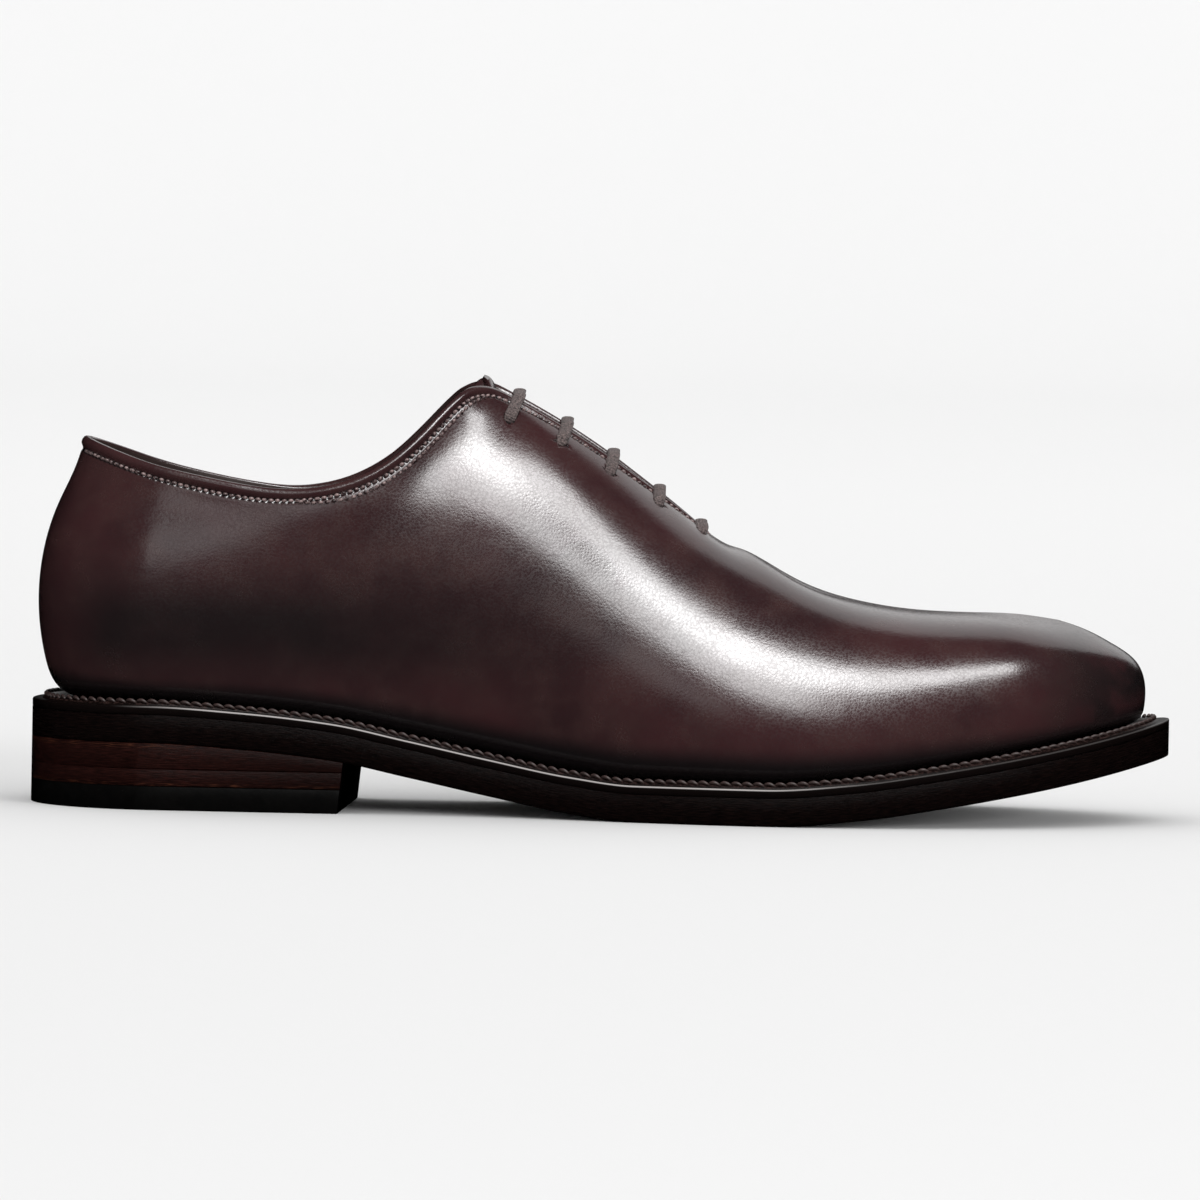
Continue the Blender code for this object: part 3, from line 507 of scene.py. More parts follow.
def ring(name, shares, inset=0.0):
    """A closed plan outline: heel to toe on the lateral side and back on the medial side."""
    lateral = np.stack(plan(name, LATERAL, shares, inset), -1)
    medial = np.stack(plan(name, MEDIAL, shares, inset), -1)
    return np.concatenate([lateral, medial[::-1]])


def moved_inward(outline, distance):
    """The outline moved square to itself, towards its inside."""
    along = unit(np.roll(outline, -1, 0) - np.roll(outline, 1, 0))
    return outline + distance * np.stack([-along[:, 1], along[:, 0]], -1)


WELT_RING = ring("welt", outline_shares(OUTLINE_COLUMNS))
ORIGIN = np.append((WELT_RING.min(0) + WELT_RING.max(0)) / 2, 0.0)


def tube_faces(count, size, closed=False):
    """Faces of a skin over this many loops of this many points. Open ends are capped."""
    faces = []
    for i in range(count if closed else count - 1):
        here, there = i * size, (i + 1) % count * size
        for j in range(size):
            k = (j + 1) % size
            faces.append((here + j, here + k, there + k, there + j))
    if not closed:
        faces += [tuple(range(size)), tuple(range((count - 1) * size, count * size))]
    return faces


def with_height(outline, height):
    """Plan points with a height each."""
    return np.column_stack([outline, np.broadcast_to(height, len(outline))])


def outward_normals(points, faces):
    """Each point's normal on an open skin."""
    mesh = bpy.data.meshes.new("skin")
    mesh.from_pydata(points.tolist(), [], faces.tolist())
    normals = np.array([vertex.normal for vertex in mesh.vertices])
    bpy.data.meshes.remove(mesh)
    return normals


def open_edges(faces):
    """Directed edges that only one face has."""
    edges = dict.fromkeys((a, b) for face in faces for a, b in zip(face, face[1:] + face[:1]))
    return [(a, b) for a, b in edges if (b, a) not in edges]


def rib_lengths(controls):
    """Spline parameters, and lengths from the top down, sampled along each rib."""
    t = np.linspace(1, 0, RIB_SAMPLES)
    points = np.einsum("rk,ksd->srd", spline_weights(t, len(controls)), controls)
    steps = np.linalg.norm(np.diff(points, axis=1), axis=2)
    return t, np.concatenate([np.zeros((len(points), 1)), np.cumsum(steps, 1)], 1)


def leather_line(side, x, distance):
    """Points and outward normals on the upper, each this far down the leather from its edge at X."""
    x, distance = np.broadcast_arrays(np.atleast_1d(np.asarray(x, float)), distance)
    share = top_share(x)
    t, lengths = rib_lengths(rib_controls(side, share))
    found = np.array([np.interp(away, row, t) for away, row in zip(distance, lengths)])

    def place(shift, step):
        controls = rib_controls(side, np.clip(share + shift, 0, 1))
        weights = spline_weights(np.clip(found + step, 0, 1), len(controls))
        return np.einsum("sk,ksd->sd", weights, controls)

    along = place(NEAR_SHARE, 0) - place(-NEAR_SHARE, 0)
    down = place(0, -NEAR_SHARE) - place(0, NEAR_SHARE)
    return place(0, 0), unit(np.cross(along, down) * side)


def below_edge(side, x, distance):
    """Point and outward normal on the facing, this far down the leather from its edge at X."""
    points, normals = leather_line(side, x, distance)
    return points[0], normals[0]


def eyelet_inset(x):
    """Distance of an eyelet from the facing's edge: less towards the throat's narrow end."""
    reach = (x - EYELET_X[0]) / (EYELET_X[-1] - EYELET_X[0])
    return EYELET_INSET + (EYELET_INSET_LAST - EYELET_INSET) * reach


def fine_shares():
    """Shares of the length that carry a rib of the fine skin."""
    even = np.sin(np.linspace(0, math.pi / 2, FINE_COLUMNS + 1)) ** 2
    zones = [(CORNER_START, CORNER_END), (THROAT_END - THROAT_ZONE, THROAT_END + THROAT_ZONE)]
    extra = [top_share(np.arange(*zone, CORNER_SPACING)) for zone in zones]
    keep = np.ones(len(even), bool)
    for zone in extra:
        keep &= (even < zone[0] - ZONE_MARGIN) | (even > zone[-1] + ZONE_MARGIN)
    shares = np.sort(np.concatenate([even[keep], *extra, [top_share(THROAT_END)]]))
    return shares[np.append(True, np.diff(shares) > SAME_RIB)]


def fine_rows(controls):
    """Spline parameters of the fine skin's rows, and their distances below the edge."""
    t, lengths = rib_lengths(controls)
    whole = lengths[:, -1:]
    body = whole - (whole - EDGE_ZONE) * np.linspace(0, 1, BODY_STEPS)
    edge = np.broadcast_to(EDGE_DISTANCES, (len(whole), len(EDGE_DISTANCES)))
    away = np.concatenate([body, edge], 1)
    return np.array([np.interp(a, line, t) for a, line in zip(away, lengths)]), away


def edge_profile(away, fade):
    """Height over the plain wall near the edge: the rolled bead and the seam's groove."""
    bead = np.interp(away, *zip(*BEAD_SHAPE)) * BEAD_RISE
    groove = np.exp(-((away - SEAM_DISTANCE) / SEAM_REACH) ** 2) * SEAM_DEPTH
    return (bead - groove) * fade[:, None]


def fine_grid():
    """The fine skin: points, their heights over the wall, edge coordinates and faces."""
    shares = fine_shares()
    store = {"points": [], "rise": [], "along": [], "away": [], "low": []}
    numbers, faces = {}, []
    for side in (LATERAL, MEDIAL):
        controls = rib_controls(side, shares)
        rows, away = fine_rows(controls)
        grid = np.einsum("srk,ksd->srd", spline_weights(rows, len(controls)), controls)
        fade = np.clip((THROAT_END - controls[-1][:, 0]) / BEAD_WIDTH / 2, 0, 1)
        rise = edge_profile(away, fade)
        rise[0] -= BACK_SEAM_DEPTH
        along = run_lengths(controls[-1])
        low = away[:, :1] - away
        numbered = np.empty(grid.shape[:2], int)
        for i, j in np.ndindex(*numbered.shape):
            key = tuple(np.round(grid[i, j], 3) + 0.0)
            if key not in numbers:
                numbers[key] = len(store["points"])
                beside = away[i, j] if fade[i] > 0 else EDGE_ZONE
                for name, value in zip(store, (grid[i, j], rise[i, j], along[i], beside, low[i, j])):
                    store[name].append(value)
            numbered[i, j] = numbers[key]
        corners = numbered[:-1, :-1], numbered[1:, :-1], numbered[1:, 1:], numbered[:-1, 1:]
        faces.append(np.stack(corners, -1).reshape(-1, 4)[:, ::-side])
    return {key: np.array(value) for key, value in store.items()}, np.concatenate(faces)


def linked(name, data):
    """An object of this data, in the scene."""
    made = bpy.data.objects.new(name, data)
    bpy.context.scene.collection.objects.link(made)
    return made


def make_mesh(name, points, faces, materials):
    """A smooth mesh object from millimetres in the shoe's layout, with its faces turned outwards."""
    mesh = bpy.data.meshes.new(name)
    places = (np.asarray(points, float) - ORIGIN) * MM
    mesh.from_pydata(places.tolist(), [], [list(map(int, f)) for f in faces])
    for item in materials:
        mesh.materials.append(item)
    mesh.shade_smooth()
    work = bmesh.new()
    work.from_mesh(mesh)
    bmesh.ops.recalc_face_normals(work, faces=work.faces)
    work.to_mesh(mesh)
    work.free()
    return linked(name, mesh)


def add_values(mesh, name, values):
    """A named value, or a vector of three, on each point."""
    values = np.asarray(values, float)
    kind = "FLOAT" if values.ndim == 1 else "FLOAT_VECTOR"
    store = mesh.attributes.new(name, kind, "POINT")
    store.data.foreach_set("value" if kind == "FLOAT" else "vector", values.ravel())


def edge_strip(skin, outer, inner, faces):
    """Round strip over the open edges, from the outer skin to the inner one."""
    edges = open_edges(faces)
    starts = sorted({a for a, _ in edges})
    place = {point: i for i, point in enumerate(starts)}
    middle = (outer[starts] + inner[starts]) / 2
    across = (outer[starts] - inner[starts]) / 2
    neighbours = {}
    for face in faces:
        for a, b in zip(face, face[1:] + face[:1]):
            neighbours.setdefault(a, []).append(b)
    up = []
    for i, point in enumerate(starts):
        inside = [n for n in neighbours[point] if n not in place]
        away = skin[point] - skin[inside].mean(0)
        side = unit(across[i])
        up.append(unit(away - side * away.dot(side)) * np.linalg.norm(across[i]))
    turns = np.arange(1, RIM_STEPS + 1) / (RIM_STEPS + 1) * math.pi
    bulge = RIM_BULGE * (skin[starts][:, 2] > RIM_FLOOR)[:, None]
    strips = [middle + across * math.cos(a) + np.array(up) * math.sin(a) * bulge for a in turns]
    return edges, place, np.concatenate(strips)


def upper(leather, lining, dark):
    """The one-piece upper: outer skin, rolled topline, lining and ten eyelets."""
    grid, quads = fine_grid()
    skin, count, faces = grid["points"], len(grid["points"]), quads.tolist()
    normals = outward_normals(skin, quads)
    outer = skin + normals * grid["rise"][:, None]
    inner = skin - normals * WALL
    edges, place, strip = edge_strip(skin, outer, inner, faces)

    def rim_point(step, point):
        if step == 0:
            return point
        if step == RIM_STEPS + 1:
            return count + point
        return 2 * count + (step - 1) * len(place) + place[point]

    every = faces + [[count + i for i in face[::-1]] for face in faces]
    for a, b in edges:
        for i in range(RIM_STEPS + 1):
            every.append((rim_point(i, b), rim_point(i, a), rim_point(i + 1, a), rim_point(i + 1, b)))
    made = make_mesh("upper_shell", np.concatenate([outer, inner, strip]), every, [leather, lining, dark])
    slots = np.zeros(len(every), int)
    slots[len(faces):2 * len(faces)] = 1
    made.data.polygons.foreach_set("material_index", slots)
    ends = np.tile(grid["along"][list(place)], RIM_STEPS)
    for name, last in (("along", ends), ("away", np.zeros(len(ends))), ("low", np.full(len(ends), FAR))):
        add_values(made.data, name, np.concatenate([grid[name], grid[name], last]))
    punch_eyelets(made, dark)
    return made


def punch_eyelets(shell, dark):
    """Ten round holes through the facings."""
    cutter = bmesh.new()
    for x in EYELET_X:
        for side in (LATERAL, MEDIAL):
            centre, normal = below_edge(side, x, eyelet_inset(x))
            turn = Vector(normal).to_track_quat("Z", "Y").to_matrix().to_4x4()
            turn.translation = Vector((centre - ORIGIN) * MM)
            bmesh.ops.create_cone(
                cutter, cap_ends=True, segments=HOLE_SIDES, matrix=turn, depth=PEG_LENGTH * MM,
                radius1=HOLE_RADIUS * MM, radius2=HOLE_RADIUS * MM)
    mesh = bpy.data.meshes.new("pegs")
    cutter.to_mesh(mesh)
    cutter.free()
    mesh.materials.append(dark)
    pegs = linked("pegs", mesh)
    cut = shell.modifiers.new("eyelets", "BOOLEAN")
    cut.operation = "DIFFERENCE"
    cut.solver = "EXACT"
    cut.material_mode = "TRANSFER"
    cut.object = pegs
    final = bpy.data.meshes.new_from_object(shell.evaluated_get(bpy.context.evaluated_depsgraph_get()))
    shell.modifiers.clear()
    shell.data = final
    bpy.data.objects.remove(pegs, do_unlink=True)


def stitches(name, path, normals, pitch, thread, finish, rise=0.3, fill=0.80, sides=6, slant=0.0):
    """A row of stitches along a path: short arched threads that dip into the leather at both ends."""
    lengths = run_lengths(path)
    count = int(lengths[-1] / pitch)
    stations, girth = np.array(STITCH_GIRTH).T
    girth = girth * thread / 2
    where = (np.arange(count)[:, None] + (1 - fill) / 2 + stations * fill) * pitch
    centre = np.stack([np.interp(where, lengths, path[:, k]) for k in range(3)], -1)
    up = unit(np.stack([np.interp(where, lengths, normals[:, k]) for k in range(3)], -1))
    arch = (np.sin(math.pi * np.clip(stations, *STITCH_ENDS)) - STITCH_DIP) * thread * rise
    centre = centre + up * arch[:, None]
    side = np.cross(unit(np.gradient(centre, axis=1)), up)
    centre = centre + side * (slant * (stations - 0.5))[:, None]
    turns = np.arange(sides) / sides * math.tau
    points = (
        centre[:, :, None]
        + side[:, :, None] * (np.cos(turns) * girth[:, None])[None, ..., None]
        + up[:, :, None] * (np.sin(turns) * girth[:, None])[None, ..., None])
    one, size = tube_faces(len(stations), sides), len(stations) * sides
    faces = [tuple(i + n * size for i in face) for n in range(count) for face in one]
    return make_mesh(name, points.reshape(-1, 3), faces, [finish])


def edge_path(side, low_x, high_x, distance, lift):
    """A line on the upper at a distance below its edge, which may change along X, with its normals."""
    x = np.arange(low_x, high_x + 0.01, PATH_STEP)
    points, normals = leather_line(side, x, distance(x) if callable(distance) else distance)
    return points + normals * lift, normals


def second_seam(x):
    """Distance of the second row from the edge: it leaves the first row and comes back to it."""
    reach = np.clip((x - SECOND_START) / SECOND_FADES[0], 0, 1)
    reach = reach * np.clip((SECOND_END - x) / SECOND_FADES[1], 0, 1)
    return SEAM_DISTANCE + (SECOND_SEAM - SEAM_DISTANCE) * np.sqrt(reach)


def topline_stitches(finish):
    """The stitched row below the topline and down both facings, and the second row at the corner."""
    made = []
    for side, word in ((LATERAL, "lateral"), (MEDIAL, "medial")):
        path = edge_path(side, SEAM_START, SEAM_END, SEAM_DISTANCE, -SEAM_DEPTH + SEAM_LIFT)
        made.append(stitches(f"topline_stitches_{word}", *path, PITCH, THREAD, finish))
        path = edge_path(side, SECOND_START, SECOND_END, second_seam, SECOND_LIFT)
        made.append(stitches(f"corner_stitches_{word}", *path, PITCH, THREAD, finish))
    return made


def ladder(name, loops, finish, closed=False):
    """A solid skinned over loops."""
    made = make_mesh(name, np.concatenate(loops), tube_faces(len(loops), len(loops[0]), closed), [finish])
    made.data.set_sharp_from_angle(angle=SHARP_ANGLE)
    return made


def add_strip(made, along, heights, insets=0.0):
    """Coordinates that run with the edge: length, height, and distance from the edge."""
    along, heights = np.ravel(along), np.ravel(heights)
    insets = np.broadcast_to(np.ravel(insets), len(along))
    add_values(made.data, "strip", np.column_stack([along, heights, insets]))


def both_sides(level, lateral_share, medial_share, inset=0.0):
    """A level's points on both sides, and the way across from the lateral to the medial one."""
    lateral = np.array(plan(level, LATERAL, lateral_share, inset))
    medial = np.array(plan(level, MEDIAL, medial_share, inset))
    return lateral, medial, unit(medial - lateral)


def outsole_piece(finish):
    """The outsole with its rounded lower edge."""
    loops, heights, along = [], [], []
    edge = [*EDGE_ROWS, (0.0, SOLE_TOP - EDGE_BREAK), (EDGE_BREAK, SOLE_TOP)]
    for share in outline_shares(FINE_OUTLINE):
        lateral, medial, across = both_sides("welt", share, share)
        rows = [(lateral + across * inset, up) for inset, up in edge]
        rows += [(medial - across * inset, up) for inset, up in edge[::-1]]
        loops.append(np.array([(*place, underside(lateral[0]) + up) for place, up in rows]))
        heights.append([up for _, up in rows])
        along.append([lateral[0]] * len(rows))
    made = ladder("outsole_edge", loops, finish)
    add_strip(made, along, heights)
    return made


def welt_outlines():
    """Fine outlines of the welt's rim and of the feather line, and both sides of the rib."""
    shares = outline_shares(WELT_SAMPLES)
    rim, feather = ring("welt", shares), ring("feather", shares)
    return rim, feather, moved_inward(rim, RIM_WIDTH), moved_inward(feather, -GAP)


def welt_piece(finish):
    """The welt: a polished rim with a broken edge, and a rib beside the upper."""
    rim, feather, start, end = welt_outlines()
    inner = moved_inward(feather, MARGIN - 1)
    rows = [(moved_inward(rim, inset), up) for inset, up in WELT_ROWS] + [(start, WELT_THICK)]
    for step in RIB_STEPS:
        swell = math.sin(math.pi * step) ** RIB_ROUNDNESS
        rows.append((start + (end - start) * step, WELT_THICK + RIB_RISE * swell))
    rows += [(end, WELT_THICK), (inner, WELT_THICK), (inner, 0.0)]
    rings = [with_height(line, underside(line[:, 0]) + SOLE_THICK + GAP + up) for line, up in rows]
    made = ladder("welt_rim", [np.array(points) for points in zip(*rings)], finish, closed=True)
    along = np.array([run_lengths(rim)] * len(rows)).T
    heights = np.array([np.full(len(line), SOLE_THICK + up) for line, up in rows]).T
    gaps = np.array([np.linalg.norm(line - rim, axis=1) for line, _ in rows]).T
    add_strip(made, along, heights, gaps)
    return made


def welt_stitches(finish):
    """Thick slanting stitches along the welt's rib, like a rope."""
    rim, _, start, end = welt_outlines()
    line = start + (end - start) * WELT_SEAM_SHARE
    height = underside(line[:, 0]) + SOLE_THICK + GAP + WELT_THICK + RIB_RISE + WELT_SEAM_LIFT
    path = with_height(line, height)
    out, up = WELT_SEAM_WAY
    normals = with_height(unit(rim - start) * out, up)
    return stitches(
        "welt_stitches", np.concatenate([path, path[:1]]), np.concatenate([normals, normals[:1]]),
        WELT_PITCH, WELT_THREAD, finish, rise=0.5, fill=1.08, sides=8, slant=0.9)


def heel_piece(name, floor, ceiling, finish):
    """One layer of the heel with fine broken edges."""
    loops, along, heights = [], [], []
    inset, rise = HEEL_BREAK
    for i in range(HEEL_FINE):
        reach = ((i + 0.5) / (HEEL_FINE - 0.5)) ** 2
        lateral, medial, across = both_sides(
            "welt", reach * HEEL_BREAST_LATERAL / LENGTH, reach * HEEL_BREAST_MEDIAL / LENGTH)
        rows = []
        for place, edge in ((lateral, across), (medial, -across)):
            top = ceiling(place[0] + HEEL_LEAN_REACH * reach)
            rows.append((
                (place + edge * inset, floor), (place, floor + rise),
                (place, top - EDGE_BREAK), (place + edge * EDGE_BREAK, top)))
        around = (*rows[0], *rows[1][::-1])
        loops.append(np.array([(x + reach * BREAST_LEAN * z, y, z) for (x, y), z in around]))
        along.append([lateral[0]] * len(around))
        heights.append([z for _, z in around])
    made = ladder(name, loops, finish)
    add_strip(made, along, heights)
    return made


def insole_piece(finish):
    """The sock on the insole, slightly dished."""
    low = SOLE_THICK + WELT_THICK + 2 * GAP + WALL + 2 * GAP
    top = low + INSOLE_THICK
    loops = []
    for share in outline_shares(INSOLE_FINE):
        under_l, under_m, _ = both_sides("feather", share, share, INSOLE_INSETS[0])
        edge_l, edge_m, _ = both_sides("feather", share, share, INSOLE_INSETS[1] - SOCK_OVERLAP)
        rows = [(under_l, low), (edge_l, top - SOCK_EDGE)]
        for step in SOCK_STEPS:
            dish = SOCK_DISH * math.sin(math.pi * step)
            rows.append((edge_l + (edge_m - edge_l) * step, top + SOCK_EDGE - dish))
        rows += [(edge_m, top - SOCK_EDGE), (under_m, low)]
        loops.append(np.array([(*place, underside(place[0]) + up) for place, up in rows]))
    return ladder("insole_sock", loops, finish)


def tongue_loop(x, room, arch):
    """Section of the tongue under the two facings at one X, outer face and then inner face."""
    outer, inward = [], []
    for side, reaches in ((LATERAL, TONGUE_REACH), (MEDIAL, TONGUE_REACH[::-1])):
        for reach in reaches:
            point, normal = below_edge(side, x, reach)
            outer.append(point - normal * (WALL + room))
            inward.append(-normal)
    middle = len(TONGUE_REACH)
    near, far = outer[middle - 1], outer[middle]
    way = (inward[middle - 1] + inward[middle]) / 2
    inward.insert(middle, way)
    outer.insert(middle, (near + far) / 2 - way * (arch * np.linalg.norm(far - near)))
    inner = [point + way * TONGUE_THICK for point, way in zip(outer, inward)]
    return np.array(outer + inner[::-1])


def tongue_piece(finish):
    """The tongue, smooth from its front end to its pointed, padded top."""
    xs = [station.x for station in TONGUE_STATIONS]
    curves = columns_of(TONGUE_STATIONS, natural_spline, "x")
    loops = [
        tongue_loop(x, float(curves["room"](x)), float(curves["arch"](x)))
        for x in np.linspace(xs[0], xs[-1], TONGUE_LOOPS)]
    first, half = loops[0], len(loops[0]) // 2
    middle = first[len(TONGUE_REACH)]
    tip = np.array([TONGUE_PEAK[0], middle[1], TONGUE_PEAK[1]])
    through = first[::-1][:half] - first[:half]
    ends = []
    for reach in TONGUE_ENDS:
        width = float(np.interp(reach, *zip(*TONGUE_TAPER)))
        outer = middle + (first[:half] - middle) * width + (tip - middle) * reach
        outer[:, 2] += TONGUE_LIFT * math.sin(math.pi * reach)
        inner = outer + through * float(np.interp(reach, *zip(*TONGUE_PADDING)))
        inner[:, 0] -= TONGUE_SWELL * reach * (1 - reach)
        ends.append(np.concatenate([outer, inner[::-1]]))
    made = ladder("tongue_flap", ends + loops, finish)
    for name in ("low", "away"):
        add_values(made.data, name, np.full(len(made.data.vertices), FAR))
    return made


def smooth_path(points, count):
    """A smooth curve through the points, at even steps."""
    points = np.asarray(points, float)
    knots = run_lengths(points)
    t = np.linspace(0, knots[-1], count)
    return np.column_stack([natural_spline(knots, points[:, k])(t) for k in range(3)])


def flat_cord(path, flat_way, width, thick):
    """Loops of a flat oval cord along a path, its wide side along flat_way."""
    turns = np.arange(LACE_PROFILE) / LACE_PROFILE * math.tau
    wide_part, thick_part = (
        np.sign(wave) * abs(wave) ** power * size / 2
        for wave, power, size in zip((np.cos(turns), np.sin(turns)), LACE_POWERS, (width, thick)))
    loops = []
    for point, way, flat in zip(path, unit(np.gradient(path, axis=0)), flat_way):
        wide = unit(flat - way * flat.dot(way))
        loops.append(point + wide_part[:, None] * wide + thick_part[:, None] * np.cross(way, wide))
    return loops


def bar_line(x):
    """Middle line of a bar of lace: out of one eyelet, flat on the leather, over both edges, in again."""
    halves = []
    lean = float(np.interp(x, (EYELET_X[0], EYELET_X[-1]), BAR_LEANS))
    inset = eyelet_inset(x)
    for side in (LATERAL, MEDIAL):
        hole, normal = below_edge(side, x, inset)
        start, _ = below_edge(side, x, inset + UNDER_SHIFT)
        half = [start - normal * UNDER_DEPTH, hole - normal * BAR_SINK]
        for reach, lift in BAR_REACHES:
            point, normal = below_edge(side, x + lean * (1 - reach), inset * reach)
            half.append(point + normal * lift)
        halves.append(half)
    middle = (halves[0][-1] + halves[1][-1]) / 2
    middle[2] += BAR_ARCH * np.linalg.norm(halves[0][-1] - halves[1][-1]) + BAR_CROWN
    return smooth_path(halves[0] + [middle] + halves[1][::-1], LACE_STEPS)


def under_line(side, start, end):
    """A run of lace under the facing, from one eyelet to another."""
    x = np.linspace(EYELET_X[start - 1], EYELET_X[end - 1], UNDER_STEPS)
    points, normals = leather_line(side, x, eyelet_inset(x) + UNDER_SHIFT)
    return points - normals * UNDER_DEPTH, normals


def lace(finish):
    """One flat lace: five straight bars and the runs between them under the facings."""
    points, faces, strip = [], [], []

    def join(path, flat_way, size):
        loops = flat_cord(path, flat_way, *size)
        base = sum(len(p) for p in points)
        points.append(np.concatenate(loops))
        faces.extend(tuple(i + base for i in face) for face in tube_faces(len(loops), LACE_PROFILE))
        around = np.arange(LACE_PROFILE) / LACE_PROFILE
        strip.append(np.array([(a, b, 0) for a in run_lengths(path) for b in around]))

    for x in EYELET_X:
        path = bar_line(x)
        span = path[-1] - path[0]
        join(path, [np.cross(span, (0, 0, 1)) / np.linalg.norm(span)] * len(path), BAR_SIZE)
    for side in (LATERAL, MEDIAL):
        for start, end in UNDER_RUNS:
            path, normals = under_line(side, start, end)
            join(path, np.cross(path[-1] - path[0], normals), UNDER_SIZE)
    made = make_mesh("lace", np.concatenate(points), faces, [finish])
    add_values(made.data, "strip", np.concatenate(strip))
    return made


class Shader:
    """Short calls that build one material's nodes."""

    def __init__(self, name):
        self.material = bpy.data.materials.new(name)
        self.material.use_nodes = True
        self.tree = self.material.node_tree
        self.surface = self.tree.nodes["Principled BSDF"]

    def node(self, kind, *values, **settings):
        """A node with its first inputs filled, each from a number, a colour or another node's socket."""
        made = self.tree.nodes.new(kind)
        for key, value in settings.items():
            setattr(made, key, value)
        for socket, value in zip(made.inputs, values):
            self.fill(socket, value)
        return made.outputs[0]

    def fill(self, socket, value):
        if isinstance(value, bpy.types.NodeSocket):
            self.tree.links.new(value, socket)
        elif value is not None:
            if socket.type == "RGBA" and len(value) == 3:
                value = (*value, 1)
            socket.default_value = value

    def set(self, **values):
        """Sockets of the Principled shader, by name with underscores."""
        for key, value in values.items():
            self.fill(self.surface.inputs[key.replace("_", " ")], value)

    def place(self):
        return self.tree.nodes.new("ShaderNodeTexCoord").outputs["Object"]

    def value(self, name):
        """A named value of the mesh: its factor, vector and colour sockets."""
        made = self.tree.nodes.new("ShaderNodeAttribute")
        made.attribute_name = name
        return made.outputs

    def math(self, operation, a, b=0.0):
        return self.node("ShaderNodeMath", a, b, operation=operation)

    def times(self, a, b):
        return self.math("MULTIPLY", a, b)

    def scaled(self, vector, *factors):
        return self.node("ShaderNodeVectorMath", vector, factors, operation="MULTIPLY")

    def noise(self, vector, scale, detail=2.0, roughness=0.5):
        return self.node("ShaderNodeTexNoise", vector, None, scale, detail, roughness)

    def cells(self, vector, scale):
        return self.node("ShaderNodeTexVoronoi", vector, None, scale)

    def step(self, value, low, high, start=0.0, end=1.0):
        """A smooth step of a value from start at low to end at high."""
        return self.node(
            "ShaderNodeMapRange", value, low, high, start, end, interpolation_type="SMOOTHSTEP")

    def mix(self, factor, first, second):
        made = self.tree.nodes.new("ShaderNodeMix")
        made.data_type = "RGBA"
        made.clamp_factor = True
        for place, value in ((0, factor), (6, first), (7, second)):
            self.fill(made.inputs[place], value)
        return made.outputs[2]

    def bump(self, height, distance, normal=None):
        """Fine relief of this depth in metres."""
        made = self.tree.nodes.new("ShaderNodeBump")
        for key, value in (("Strength", 1.0), ("Distance", distance), ("Height", height), ("Normal", normal)):
            self.fill(made.inputs[key], value)
        return made.outputs[0]

    def xyz(self, vector):
        made = self.tree.nodes.new("ShaderNodeSeparateXYZ")
        self.fill(made.inputs[0], vector)
        return made.outputs


def calf_leather():
    """Polished dark oxblood calf with fine grain, with painted shade near the welt, over the toe and in the
    stitched groove, and a painted dark reflection in a band round the heel.
    """
    s = Shader("polished_calf")
    place = s.place()
    x, y, z = s.xyz(place)
    away, low, along = (s.value(name)[2] for name in ("away", "low", "along"))
    broad = s.noise(place, 22, 3, 0.55)
    cloud = s.noise(place, 75, 4, 0.6)
    base = s.mix(s.step(broad, 0.36, 0.66), LEATHER_DEEP, LEATHER_RED)
    base = s.mix(s.step(cloud, 0.35, 0.75, 0.0, 0.6), base, LEATHER_BROWN)
    # Painted shade low on the upper by the welt and in patches over the toe, and a painted dark reflection in
    # a band round the heel
    foot = s.step(low, *FOOT_SHADE, 1.0, 0.0)
    toe = s.times(s.step(x, *TOE_SHADE), s.step(cloud, 0.25, 0.62))
    behind = s.times(*(s.step(x, *limits) for limits in HEEL_SHADE_X))
    band = s.times(*(s.step(z, *limits) for limits in HEEL_SHADE_Z))
    heel = s.times(s.times(behind, band), s.step(broad, 0.30, 0.60, 0.45, 0.9))
    dark = s.math("MAXIMUM", s.math("MAXIMUM", foot, toe), heel)
    base = s.mix(s.times(dark, 0.95), base, LEATHER_PAINTED_SHADE)
    # Painted shade in the stitched groove below the topline
    beside = s.times(*(s.step(away, *limits) for limits in SEAM_SHADE))
    base = s.mix(s.times(beside, 0.9), base, LEATHER_PAINTED_SHADE)
    grain = s.cells(place, 1500)
    pores = s.noise(place, 2400, 2, 0.6)
    waves = s.noise(place, 140, 2, 0.5)
    pucker = s.math("SINE", s.times(along, math.tau / PITCH))
    relief = s.bump(waves, 0.00005)
    relief = s.bump(s.times(pucker, beside), 0.00008, relief)
    relief = s.bump(s.math("ADD", grain, s.times(pores, 0.5)), 0.000014, relief)
    rough = s.math("ADD", s.step(cloud, 0.3, 0.7, 0.165, 0.205), s.step(grain, 0.30, 0.70, 0.0, 0.075))
    s.set(Base_Color=base, Roughness=rough, Normal=relief, Coat_Weight=0.12, Coat_Roughness=0.16,
          Specular_IOR_Level=0.54)
    return s.material


def lining_leather():
    """Soft unpolished lining."""
    s = Shader("lining_calf")
    place = s.place()
    base = s.mix(s.noise(place, 60, 3, 0.6), *LINING_TONES)
    s.set(Base_Color=base, Roughness=0.6, Normal=s.bump(s.cells(place, 1300), 0.00005))
    return s.material


def plain(look):
    """A material of fine noise between two tones: a hole's wall, a thread or rubber."""
    s = Shader(look.name)
    tone = s.noise(s.place(), look.scale, look.detail)
    if look.limits:
        tone = s.step(tone, *look.limits)
    s.set(Base_Color=s.mix(tone, *look.tones), Roughness=look.roughness, Specular_IOR_Level=look.specular)
    if look.relief:
        s.set(Normal=s.bump(tone, look.relief))
    return s.material


